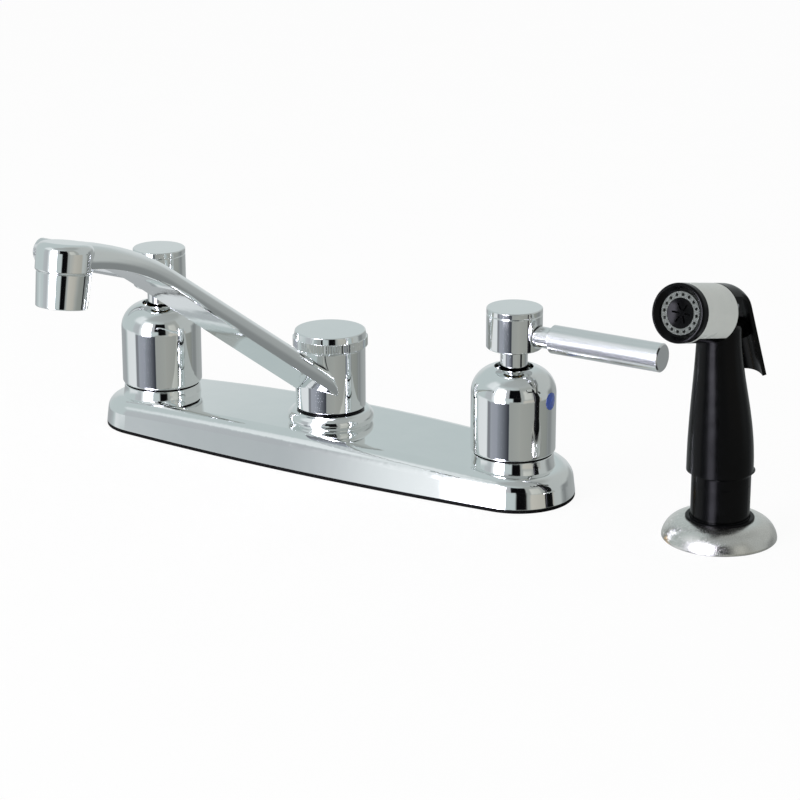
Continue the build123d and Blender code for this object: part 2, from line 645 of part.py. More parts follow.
for name, side in SIDES.items():
    x = side * VALVE_X
    section = upright(x)
    axis = turning_axis(section)

    with BuildPart() as valve_body:
        supply_top = SHANK_BOTTOM + SUPPLY_THREAD_LENGTH
        revolve(
            closed_face(
                section,
                (SHANK_BORE_RADIUS, SHANK_BOTTOM),
                (SUPPLY_RADIUS, SHANK_BOTTOM),
                (SUPPLY_RADIUS, supply_top),
                (SHANK_RADIUS, supply_top + SHANK_RADIUS - SUPPLY_RADIUS),
                (SHANK_RADIUS, GASKET_THICKNESS),
                (VALVE_FLANGE_RADIUS, GASKET_THICKNESS),
                (VALVE_FLANGE_RADIUS, BRASS_TOP),
                (VALVE_THREAD_RADIUS, BRASS_TOP),
                (VALVE_THREAD_RADIUS, VALVE_BODY_TOP),
                (CARTRIDGE_BORE_RADIUS, VALVE_BODY_TOP),
                (CARTRIDGE_BORE_RADIUS, CARTRIDGE_SEAT),
                (SHANK_BORE_RADIUS, CARTRIDGE_SEAT),
            ),
            axis=axis,
        )
        inward = Plane(origin=(x, 0, TUBE_HEIGHT), x_dir=(0, 1, 0), z_dir=(-side, 0, 0))
        with BuildSketch(inward):
            Circle(TUBE_BORE_RADIUS)
        extrude(amount=VALVE_FLANGE_RADIUS, mode=Mode.SUBTRACT)
        with BuildSketch(inward.offset(VALVE_FLANGE_RADIUS - TUBE_SOCKET_DEPTH)):
            Circle(TUBE_RADIUS + SEAT_GAP)
        extrude(amount=2 * TUBE_SOCKET_DEPTH, mode=Mode.SUBTRACT)
    save(valve_body.part, f"{name}_valve_body")

    with BuildPart() as seat_seal:
        with BuildSketch(Plane((x, 0, CARTRIDGE_SEAT))):
            Circle(CARTRIDGE_BORE_RADIUS - SEAT_GAP)
            Circle(SEAL_HOLE_RADIUS, mode=Mode.SUBTRACT)
        extrude(amount=SEAL_THICKNESS)
    save(seat_seal.part, f"{name}_seat_seal")

    with BuildPart() as cartridge:
        housing_radius = CARTRIDGE_BORE_RADIUS - SEAT_GAP
        stem_bore = STEM_RADIUS + RUNNING_GAP
        hex_top = VALVE_BODY_TOP + HOUSING_HEX_THICKNESS
        revolve(
            closed_face(
                section,
                (CHAMBER_RADIUS, HOUSING_BOTTOM),
                (housing_radius, HOUSING_BOTTOM),
                (housing_radius, hex_top),
                (HOUSING_NECK_RADIUS, hex_top),
                (HOUSING_NECK_RADIUS, HOUSING_TOP),
                (stem_bore, HOUSING_TOP),
                (stem_bore, CHAMBER_TOP),
                (CHAMBER_RADIUS, CHAMBER_TOP),
            ),
            axis=axis,
        )
        with BuildSketch(Plane((x, 0, VALVE_BODY_TOP))):
            RegularPolygon(HOUSING_HEX_RADIUS, 6)
            Circle(HOUSING_NECK_RADIUS - JOIN, mode=Mode.SUBTRACT)
        extrude(amount=HOUSING_HEX_THICKNESS)
        with BuildSketch(inward):
            Circle(CARTRIDGE_PORT_RADIUS)
        extrude(amount=VALVE_FLANGE_RADIUS, mode=Mode.SUBTRACT)
    save(cartridge.part, f"{name}_cartridge")

    with BuildPart() as fixed_disc:
        with BuildSketch(Plane((x, 0, HOUSING_BOTTOM))):
            Circle(CHAMBER_RADIUS - SEAT_GAP)
            with PolarLocations(DISC_PORT_OFFSET, 2):
                Circle(DISC_PORT_RADIUS, mode=Mode.SUBTRACT)
        extrude(amount=FIXED_DISC_THICKNESS)
    save(fixed_disc.part, f"{name}_fixed_disc")

    with BuildPart() as moving_disc:
        with BuildSketch(Plane((x, 0, MOVING_DISC_BOTTOM))):
            Circle(CHAMBER_RADIUS - FREE_GAP)
            with PolarLocations(DISC_PORT_OFFSET, 2, start_angle=90):
                Circle(DISC_PORT_RADIUS, mode=Mode.SUBTRACT)
        extrude(amount=MOVING_DISC_THICKNESS)
    save(moving_disc.part, f"{name}_moving_disc")

    with BuildPart() as stem:
        revolve(
            closed_face(
                section,
                (0, STEM_FOOT_BOTTOM),
                (STEM_FOOT_RADIUS, STEM_FOOT_BOTTOM),
                (STEM_FOOT_RADIUS, STEM_FOOT_BOTTOM + STEM_FOOT_THICKNESS),
                (STEM_RADIUS, STEM_FOOT_BOTTOM + STEM_FOOT_THICKNESS),
                (STEM_RADIUS, STEM_TOP),
                (SCREW_RADIUS + SEAT_GAP, STEM_TOP),
                (SCREW_RADIUS + SEAT_GAP, STEM_SCREW_BOTTOM),
                (0, STEM_SCREW_BOTTOM),
            ),
            axis=axis,
        )
    save(stem.part, f"{name}_stem")

    with BuildPart() as bell:
        shoulder_centre = BELL_RADIUS - BELL_SHOULDER_RADIUS
        inner_radius = BELL_RADIUS - BELL_WALL
        inner_shoulder = BELL_SHOULDER_RADIUS - BELL_WALL
        hole_offset = BELL_HOLE_RADIUS - shoulder_centre
        outer_lip = BELL_SHOULDER_HEIGHT + sqrt(BELL_SHOULDER_RADIUS**2 - hole_offset**2)
        inner_lip = BELL_SHOULDER_HEIGHT + sqrt(inner_shoulder**2 - hole_offset**2)
        foot_round_middle = BELL_FOOT_RADIUS + 0.72 * (BELL_RADIUS - BELL_FOOT_RADIUS)
        web_bore = VALVE_THREAD_RADIUS + SEAT_GAP
        revolve(
            closed_face(
                section,
                (BELL_FOOT_RADIUS - BELL_WALL, BELL_BOTTOM),
                (BELL_FOOT_RADIUS, BELL_BOTTOM),
                (
                    (foot_round_middle, BELL_BOTTOM + 0.3 * BELL_FOOT_ROUND),
                    (BELL_RADIUS, BELL_BOTTOM + BELL_FOOT_ROUND),
                ),
                (BELL_RADIUS, BELL_SHOULDER_HEIGHT),
                (
                    (
                        shoulder_centre + BELL_SHOULDER_RADIUS * diagonal,
                        BELL_SHOULDER_HEIGHT + BELL_SHOULDER_RADIUS * diagonal,
                    ),
                    (BELL_HOLE_RADIUS, outer_lip),
                ),
                (BELL_HOLE_RADIUS, inner_lip),
                (
                    (
                        shoulder_centre + inner_shoulder * diagonal,
                        BELL_SHOULDER_HEIGHT + inner_shoulder * diagonal,
                    ),
                    (inner_radius, BELL_SHOULDER_HEIGHT),
                ),
                (inner_radius, BELL_WEB_TOP),
                (web_bore, BELL_WEB_TOP),
                (web_bore, BELL_WEB_BOTTOM),
                (inner_radius, BELL_WEB_BOTTOM),
                (inner_radius, BELL_BOTTOM + BELL_FOOT_ROUND),
            ),
            axis=axis,
        )
        outward = Plane(origin=(x, 0, DOT_HEIGHT), x_dir=(0, side, 0), z_dir=(side, 0, 0))
        pocket_floor = BELL_RADIUS - DOT_THICKNESS
        with BuildSketch(outward.offset(pocket_floor - JOIN)):
            Circle(DOT_RADIUS + SEAT_GAP)
        pocket = extrude(amount=DOT_THICKNESS + 2 * JOIN, mode=Mode.PRIVATE)
        core_foot = Plane((x, 0, DOT_HEIGHT - DOT_RADIUS - JOIN))
        pocket_core = Solid.make_cylinder(pocket_floor, 2 * (DOT_RADIUS + JOIN), core_foot)
        add(pocket - pocket_core, mode=Mode.SUBTRACT)
    save(bell.part, f"{name}_bell")

    with BuildPart() as bell_seal:
        with BuildSketch(Plane((x, 0, VALVE_BOSS_TOP))):
            Circle(BELL_SEAL_RADIUS)
            Circle(VALVE_THREAD_RADIUS + HOLE_CLEARANCE, mode=Mode.SUBTRACT)
        extrude(amount=BELL_SEAL_THICKNESS)
    save(bell_seal.part, f"{name}_bell_seal")

    with BuildPart() as index_dot:
        with BuildSketch(outward.offset(pocket_floor - JOIN)):
            Circle(DOT_RADIUS)
        extrude(amount=DOT_THICKNESS + 2 * JOIN)
        with Locations((x, 0, DOT_HEIGHT)):
            Cylinder(BELL_RADIUS + DOT_PROUD, 3 * DOT_RADIUS, mode=Mode.INTERSECT)
            Cylinder(pocket_floor, 3 * DOT_RADIUS, mode=Mode.SUBTRACT)
    save(index_dot.part, f"{name}_index_dot")

    lever_plane = Plane(origin=(x, 0, LEVER_HEIGHT), x_dir=(0, side, 0), z_dir=(side, 0, 0))
    lever_section = Plane(origin=(x, 0, LEVER_HEIGHT), x_dir=(side, 0, 0), z_dir=(0, -side, 0))
    lever_axis = Axis(lever_section.origin, lever_section.x_dir)

    with BuildPart() as handle_hub:
        spigot_floor = HANDLE_GROOVE_HEIGHT - CAP_SPIGOT_DEPTH
        head_pocket = SCREW_HEAD_RADIUS + HOLE_CLEARANCE
        screw_hole = SCREW_RADIUS + SEAT_GAP
        stem_socket = STEM_RADIUS + SEAT_GAP
        revolve(
            closed_face(
                section,
                (stem_socket, HANDLE_NECK_BOTTOM),
                (HANDLE_NECK_RADIUS, HANDLE_NECK_BOTTOM),
                (HANDLE_NECK_RADIUS, HANDLE_BOTTOM),
                (HANDLE_RADIUS - HANDLE_CHAMFER, HANDLE_BOTTOM),
                (HANDLE_RADIUS, HANDLE_BOTTOM + HANDLE_CHAMFER),
                (HANDLE_RADIUS, HANDLE_GROOVE_HEIGHT - GROOVE_DEPTH),
                (HANDLE_RADIUS - GROOVE_DEPTH, HANDLE_GROOVE_HEIGHT),
                (CAP_SPIGOT_RADIUS, HANDLE_GROOVE_HEIGHT),
                (CAP_SPIGOT_RADIUS, spigot_floor),
                (head_pocket, spigot_floor),
                (head_pocket, SCREW_SEAT_HEIGHT),
                (screw_hole, SCREW_SEAT_HEIGHT),
                (screw_hole, STEM_TOP + SEAT_GAP),
                (stem_socket, STEM_TOP + SEAT_GAP),
            ),
            axis=axis,
        )
        with BuildSketch(lever_plane.offset(LEVER_INNER_END)):
            Circle(LEVER_NECK_RADIUS + SEAT_GAP)
        extrude(amount=HANDLE_RADIUS, mode=Mode.SUBTRACT)
        with BuildSketch(lever_plane.offset(HANDLE_RADIUS - LEVER_SOCKET_DEPTH)):
            Circle(LEVER_SOCKET_RADIUS)
        extrude(amount=HANDLE_RADIUS, mode=Mode.SUBTRACT)
    save(handle_hub.part, f"{name}_handle_hub")

    with BuildPart() as handle_cap:
        revolve(
            closed_face(
                section,
                (0, spigot_floor),
                (CAP_SPIGOT_RADIUS - SEAT_GAP, spigot_floor),
                (CAP_SPIGOT_RADIUS - SEAT_GAP, HANDLE_GROOVE_HEIGHT),
                (HANDLE_RADIUS - GROOVE_DEPTH, HANDLE_GROOVE_HEIGHT),
                (HANDLE_RADIUS, HANDLE_GROOVE_HEIGHT + GROOVE_DEPTH),
                (HANDLE_RADIUS, HANDLE_TOP - HANDLE_CHAMFER),
                (HANDLE_RADIUS - HANDLE_CHAMFER, HANDLE_TOP),
                (0, HANDLE_TOP),
            ),
            axis=axis,
        )
    save(handle_cap.part, f"{name}_handle_cap")

    with BuildPart() as handle_screw:
        screw_top = SCREW_SEAT_HEIGHT + SCREW_HEAD_THICKNESS
        revolve(
            closed_face(
                section,
                (0, SCREW_BOTTOM),
                (SCREW_RADIUS, SCREW_BOTTOM),
                (SCREW_RADIUS, SCREW_SEAT_HEIGHT),
                (SCREW_HEAD_RADIUS, SCREW_SEAT_HEIGHT),
                (SCREW_HEAD_RADIUS, screw_top),
                (0, screw_top),
            ),
            axis=axis,
        )
        with BuildSketch(Plane((x, 0, screw_top))):
            RegularPolygon(SCREW_SOCKET_RADIUS, 6)
        extrude(amount=-SCREW_SOCKET_DEPTH, mode=Mode.SUBTRACT)
    save(handle_screw.part, f"{name}_handle_screw")

    with BuildPart() as lever:
        revolve(
            closed_face(
                lever_section,
                (LEVER_INNER_END, 0),
                (LEVER_INNER_END, LEVER_NECK_RADIUS),
                (LEVER_GRIP_START, LEVER_NECK_RADIUS),
                (LEVER_GRIP_START, LEVER_GRIP_RADIUS - LEVER_CHAMFER),
                (LEVER_GRIP_START + LEVER_CHAMFER, LEVER_GRIP_RADIUS),
                (LEVER_REACH - LEVER_CHAMFER, LEVER_GRIP_RADIUS),
                (LEVER_REACH, LEVER_GRIP_RADIUS - LEVER_CHAMFER),
                (LEVER_REACH, 0),
            ),
            axis=lever_axis,
        )
    save(lever.part, f"{name}_lever")

with BuildPart() as shank_washers:
    with BuildSketch(Plane.XY.offset(NUT_TOP)):
        with Locations((-VALVE_X, 0), (VALVE_X, 0)):
            Circle(SHANK_WASHER_RADIUS)
            Circle(SHANK_RADIUS + HOLE_CLEARANCE, mode=Mode.SUBTRACT)
    extrude(amount=SHANK_WASHER_THICKNESS)
save(shank_washers.part, "shank_washers")

with BuildPart() as shank_nuts:
    with BuildSketch(Plane.XY.offset(NUT_TOP)):
        with Locations((-VALVE_X, 0), (VALVE_X, 0)):
            RegularPolygon(SHANK_NUT_RADIUS, 6)
            Circle(SHANK_RADIUS + SEAT_GAP, mode=Mode.SUBTRACT)
    extrude(amount=-SHANK_NUT_THICKNESS)
save(shank_nuts.part, "shank_nuts")

# ---------------------------------------------------------------- spout and its cap

arm_slope = tan(radians(ARM_RISE))
ridge_slope = tan(radians(RIDGE_RISE))
root_reach = HUB_RADIUS - ARM_BURIED
under_reach = bend_start(OUTLET_REACH - ARM_END_SETBACK, ARM_BEND_RADIUS, ARM_RISE, OUTLET_TILT)
ridge_reach = bend_start(OUTLET_REACH - RIDGE_END_SETBACK, RIDGE_BEND_RADIUS, RIDGE_RISE, OUTLET_TILT)
under_root = ARM_FOOT_HEIGHT - ARM_BURIED * arm_slope
under_bend = ARM_FOOT_HEIGHT + (under_reach - HUB_RADIUS) * arm_slope
ridge_root = RIDGE_FOOT_HEIGHT - ARM_BURIED * ridge_slope
ridge_bend = RIDGE_FOOT_HEIGHT + (ridge_reach - HUB_RADIUS) * ridge_slope
under_arc = (under_reach, under_bend, ARM_BEND_RADIUS, ARM_RISE)
ridge_arc = (ridge_reach, ridge_bend, RIDGE_BEND_RADIUS, RIDGE_RISE)
middle_slope = (ARM_RISE + OUTLET_TILT) / 2
arm_end_height = bend_point(*under_arc, OUTLET_TILT)[1]
outlet = Plane(
    origin=(0, -OUTLET_REACH, arm_end_height - OUTLET_SEAM_DROP),
    x_dir=(1, 0, 0),
    z_dir=(0, sin(radians(OUTLET_TILT)), cos(radians(OUTLET_TILT))),
)
outlet_section = Plane(origin=outlet.origin, x_dir=(1, 0, 0), z_dir=outlet.y_dir * -1)
outlet_axis = Axis(outlet.origin, outlet.z_dir)


def on_ridge(edge):
    """Whether an edge of the bare arm runs along one of its two upper corners."""
    middle = edge.center()
    along = (-middle.Y - root_reach) / (OUTLET_REACH - root_reach)
    return abs(middle.X) > ARM_WIDTH / 2 - 0.01 and 0.01 < along < 0.99 and edge.length > ARM_WIDTH


with BuildPart() as spout:
    extrude(
        closed_face(
            Plane.YZ,
            (-root_reach, under_root),
            (-under_reach, under_bend),
            (bend_point(*under_arc, middle_slope), bend_point(*under_arc, OUTLET_TILT)),
            bend_point(*ridge_arc, OUTLET_TILT),
            (bend_point(*ridge_arc, middle_slope), (-ridge_reach, ridge_bend)),
            (-root_reach, ridge_root),
        ),
        amount=ARM_WIDTH / 2,
        both=True,
    )
    long_edges = spout.edges().filter_by(on_ridge)
    fillet(long_edges.sort_by(lambda edge: edge.center().Z + edge.center().Y * arm_slope)[-4:], ARM_EDGE_RADIUS)
    revolve(
        closed_face(
            outlet_section,
            (0, 0),
            (AERATOR_TOP_RADIUS - GROOVE_DEPTH, 0),
            (
                (OUTLET_RADIUS - 0.3 * OUTLET_FOOT_ROUND, 0.3 * OUTLET_FOOT_ROUND),
                (OUTLET_RADIUS, OUTLET_FOOT_ROUND),
            ),
            (OUTLET_RADIUS, OUTLET_BLOCK_HEIGHT - OUTLET_CROWN_ROUND),
            (
                (
                    OUTLET_RADIUS - (1 - diagonal) * OUTLET_CROWN_ROUND,
                    OUTLET_BLOCK_HEIGHT - (1 - diagonal) * OUTLET_CROWN_ROUND,
                ),
                (OUTLET_RADIUS - OUTLET_CROWN_ROUND, OUTLET_BLOCK_HEIGHT),
            ),
            (0, OUTLET_BLOCK_HEIGHT),
        ),
        axis=outlet_axis,
    )
    revolve(
        closed_face(
            upright(),
            (0, HUB_BOTTOM),
            (HUB_RADIUS - HUB_EDGE, HUB_BOTTOM),
            (HUB_RADIUS, HUB_BOTTOM + HUB_EDGE),
            (HUB_RADIUS, HUB_TOP - HUB_EDGE),
            (HUB_RADIUS - HUB_EDGE, HUB_TOP),
            (0, HUB_TOP),
        ),
        axis=turning_axis(upright()),
    )
    revolve(
        closed_face(
            upright(),
            (0, HUB_BOTTOM),
            (POST_RADIUS + RUNNING_GAP, HUB_BOTTOM),
            (POST_RADIUS + RUNNING_GAP, HUB_CHAMBER_BOTTOM),
            (HUB_CHAMBER_RADIUS, HUB_CHAMBER_BOTTOM),
            (HUB_CHAMBER_RADIUS, HUB_CHAMBER_TOP),
            (POST_RADIUS + RUNNING_GAP, HUB_CHAMBER_TOP),
            (POST_RADIUS + RUNNING_GAP, HUB_TOP),
            (0, HUB_TOP),
        ),
        axis=turning_axis(upright()),
        mode=Mode.SUBTRACT,
    )
    with BuildSketch(outlet):
        Circle(OUTLET_BORE_RADIUS + SEAT_GAP)
    extrude(amount=OUTLET_BORE_DEPTH, mode=Mode.SUBTRACT)
    # The arm's waterway runs half-way between its underside and its ridge, into the outlet block.
    bore_stations = [((-root_reach, under_root), (-root_reach, ridge_root))]
    bore_stations += [
        (bend_point(*under_arc, slope), bend_point(*ridge_arc, slope))
        for slope in (min(ARM_RISE, RIDGE_RISE), middle_slope, OUTLET_TILT)
    ]
    bore_points = [(0, (low[0] + high[0]) / 2, (low[1] + high[1]) / 2) for low, high in bore_stations]
    with BuildLine() as bore_route:
        Spline(*bore_points, tangents=(Vector(0, -1, arm_slope), outlet.y_dir * -1))
    with BuildSketch(Plane(bore_route.line @ 0, z_dir=bore_route.line % 0)):
        Circle(ARM_BORE_RADIUS)
    sweep(path=bore_route.line, mode=Mode.SUBTRACT)
save(spout.part, "spout")

with BuildPart() as spout_cap:
    cap_thread = POST_STUD_RADIUS + SEAT_GAP
    cap_ceiling = POST_STUD_TOP + CAP_BLIND_CLEARANCE
    revolve(
        closed_face(
            upright(),
            (cap_thread, CAP_BOTTOM),
            (CAP_ROOT_RADIUS - HUB_EDGE, CAP_BOTTOM),
            (CAP_ROOT_RADIUS, CAP_BOTTOM + HUB_EDGE),
            (CAP_ROOT_RADIUS, CAP_KNURL_TOP),
            (CAP_BAND_RADIUS, CAP_KNURL_TOP),
            (CAP_TOP_RADIUS, CAP_TOP - CAP_TOP_ROUND),
            (
                (CAP_TOP_RADIUS - (1 - diagonal) * CAP_TOP_ROUND, CAP_TOP - (1 - diagonal) * CAP_TOP_ROUND),
                (CAP_TOP_RADIUS - CAP_TOP_ROUND, CAP_TOP),
            ),
            (0, CAP_TOP),
            (0, cap_ceiling),
            (cap_thread, cap_ceiling),
        ),
        axis=turning_axis(upright()),
    )
    with BuildSketch(Plane.XY.offset(CAP_KNURL_BOTTOM)):
        with BuildLine():
            knurl_step = 180 / CAP_KNURLS
            knurl_radii = (CAP_RADIUS, CAP_ROOT_RADIUS - SEAT_GAP)
            knurl_points = [
                (knurl_radii[i % 2] * cos(radians(i * knurl_step)), knurl_radii[i % 2] * sin(radians(i * knurl_step)))
                for i in range(2 * CAP_KNURLS)
            ]
            Polyline(*knurl_points, close=True)
        make_face()
        Circle(CAP_ROOT_RADIUS - 2 * JOIN, mode=Mode.SUBTRACT)
    extrude(amount=CAP_KNURL_TOP - CAP_KNURL_BOTTOM)
save(spout_cap.part, "spout_cap")

# ---------------------------------------------------------------- aerator

with BuildPart() as aerator_housing:
    revolve(
        closed_face(
            outlet_section,
            (AERATOR_BORE_RADIUS, AERATOR_SPIGOT_LENGTH),
            (OUTLET_BORE_RADIUS, AERATOR_SPIGOT_LENGTH),
            (OUTLET_BORE_RADIUS, 0),
            (AERATOR_TOP_RADIUS - GROOVE_DEPTH, 0),
            (AERATOR_TOP_RADIUS, -GROOVE_DEPTH),
            (AERATOR_BOTTOM_RADIUS, GROOVE_DEPTH - AERATOR_LENGTH),
            (AERATOR_BOTTOM_RADIUS - GROOVE_DEPTH, -AERATOR_LENGTH),
            (AERATOR_LEDGE_RADIUS + AERATOR_LIP_FLARE, -AERATOR_LENGTH),
            (AERATOR_LEDGE_RADIUS, AERATOR_LEDGE_HEIGHT - AERATOR_LIP_THICKNESS),
            (AERATOR_LEDGE_RADIUS, AERATOR_LEDGE_HEIGHT),
            (AERATOR_BORE_RADIUS, AERATOR_LEDGE_HEIGHT),
        ),
        axis=outlet_axis,
    )
save(aerator_housing.part, "aerator_housing")

with BuildPart() as aerator_insert:
    with BuildSketch(outlet.offset(AERATOR_LEDGE_HEIGHT)):
        Circle(AERATOR_BORE_RADIUS - SEAT_GAP)
        Circle(INSERT_HOLE_RADIUS, mode=Mode.SUBTRACT)
        for count, circle in zip(INSERT_RING_COUNTS, INSERT_RING_RADII):
            with PolarLocations(circle, count):
                Circle(INSERT_HOLE_RADIUS, mode=Mode.SUBTRACT)
    extrude(amount=INSERT_THICKNESS)
save(aerator_insert.part, "aerator_insert")

with BuildPart() as aerator_washer:
    with BuildSketch(outlet.offset(AERATOR_SPIGOT_LENGTH)):
        Circle(OUTLET_BORE_RADIUS - SEAT_GAP)
        Circle(AERATOR_WASHER_HOLE_RADIUS, mode=Mode.SUBTRACT)
    extrude(amount=AERATOR_WASHER_THICKNESS)
save(aerator_washer.part, "aerator_washer")

# ---------------------------------------------------------------- sprayer flange and holder

sprayer = upright(SPRAYER_X)
sprayer_axis = turning_axis(sprayer)

with BuildPart() as sprayer_flange:
    flange_hole = HOLDER_SHANK_RADIUS + SEAT_GAP
    dome_radius = FLANGE_RADIUS - FLANGE_DOME_INSET
    revolve(
        closed_face(
            sprayer,
            (FLANGE_RADIUS - FLANGE_WALL, 0),
            (FLANGE_RADIUS - FLANGE_EDGE, 0),
            (FLANGE_RADIUS, FLANGE_EDGE),
            (FLANGE_RADIUS, FLANGE_RIM_HEIGHT),
            ((dome_radius, FLANGE_TOP - FLANGE_DOME_DROP), (flange_hole, FLANGE_TOP)),
            (flange_hole, FLANGE_TOP - FLANGE_WALL),
            (
                (dome_radius - FLANGE_WALL * diagonal, FLANGE_TOP - FLANGE_DOME_DROP - FLANGE_WALL * diagonal),
                (FLANGE_RADIUS - FLANGE_WALL, FLANGE_EDGE),
            ),
        ),
        axis=sprayer_axis,
    )
save(sprayer_flange.part, "sprayer_flange")

with BuildPart() as sprayer_holder:
    revolve(
        closed_face(
            sprayer,
            (HOLDER_LEDGE_RADIUS, HOLDER_BOTTOM),
            (HOLDER_SHANK_RADIUS, HOLDER_BOTTOM),
            (HOLDER_SHANK_RADIUS, FLANGE_TOP),
            (HOLDER_RIM_RADIUS, FLANGE_TOP),
            (HOLDER_RIM_RADIUS, FLANGE_TOP + 0.6 * HOLDER_RIM_THICKNESS),
            (HOLDER_RIM_RADIUS - 0.4, FLANGE_TOP + HOLDER_RIM_THICKNESS),
            (HOLDER_BORE_RADIUS, FLANGE_TOP + HOLDER_RIM_THICKNESS),
            (HOLDER_BORE_RADIUS, HOLDER_LEDGE_HEIGHT),
            (HOLDER_LEDGE_RADIUS, HOLDER_LEDGE_HEIGHT),
        ),
        axis=sprayer_axis,
    )
save(sprayer_holder.part, "sprayer_holder")

with BuildPart() as sprayer_holder_nut:
    with BuildSketch(Plane((SPRAYER_X, 0, -DECK_THICKNESS))):
        RegularPolygon(HOLDER_NUT_RADIUS, 6)
        Circle(HOLDER_SHANK_RADIUS + SEAT_GAP, mode=Mode.SUBTRACT)
    extrude(amount=-HOLDER_NUT_THICKNESS)
save(sprayer_holder_nut.part, "sprayer_holder_nut")

# ---------------------------------------------------------------- sprayer wand

across = Vector(cos(radians(SPRAYER_YAW)), sin(radians(SPRAYER_YAW)), 0)
rearward = Vector(-sin(radians(SPRAYER_YAW)), cos(radians(SPRAYER_YAW)), 0)
foot = Vector(SPRAYER_X, 0, 0)
side_view = Plane(origin=foot, x_dir=rearward, z_dir=across)


def wand_point(lean, height):
    """Point in the wand's own middle plane: lean is towards the front."""
    return foot - rearward * lean + Vector(0, 0, height)


face_normal = Vector(0, 0, sin(radians(HEAD_TILT))) - rearward * cos(radians(HEAD_TILT))
face_plane = Plane(origin=wand_point(FACE_REACH, FACE_HEIGHT), x_dir=across, z_dir=face_normal)
head_up = face_plane.y_dir
head_axis = Axis(face_plane.origin, face_normal)
head_section = Plane(origin=face_plane.origin, x_dir=across, z_dir=head_up * -1)
pivot = face_plane.origin - face_normal * PIVOT_DEPTH + head_up * PIVOT_RISE
pivot_plane = Plane(origin=pivot, x_dir=rearward, z_dir=across)
wand_bottom = HOLDER_LEDGE_HEIGHT + FACE_GAP
rod_plane = Plane(origin=wand_point(0, VALVE_ROD_HEIGHT), x_dir=across, z_dir=rearward)

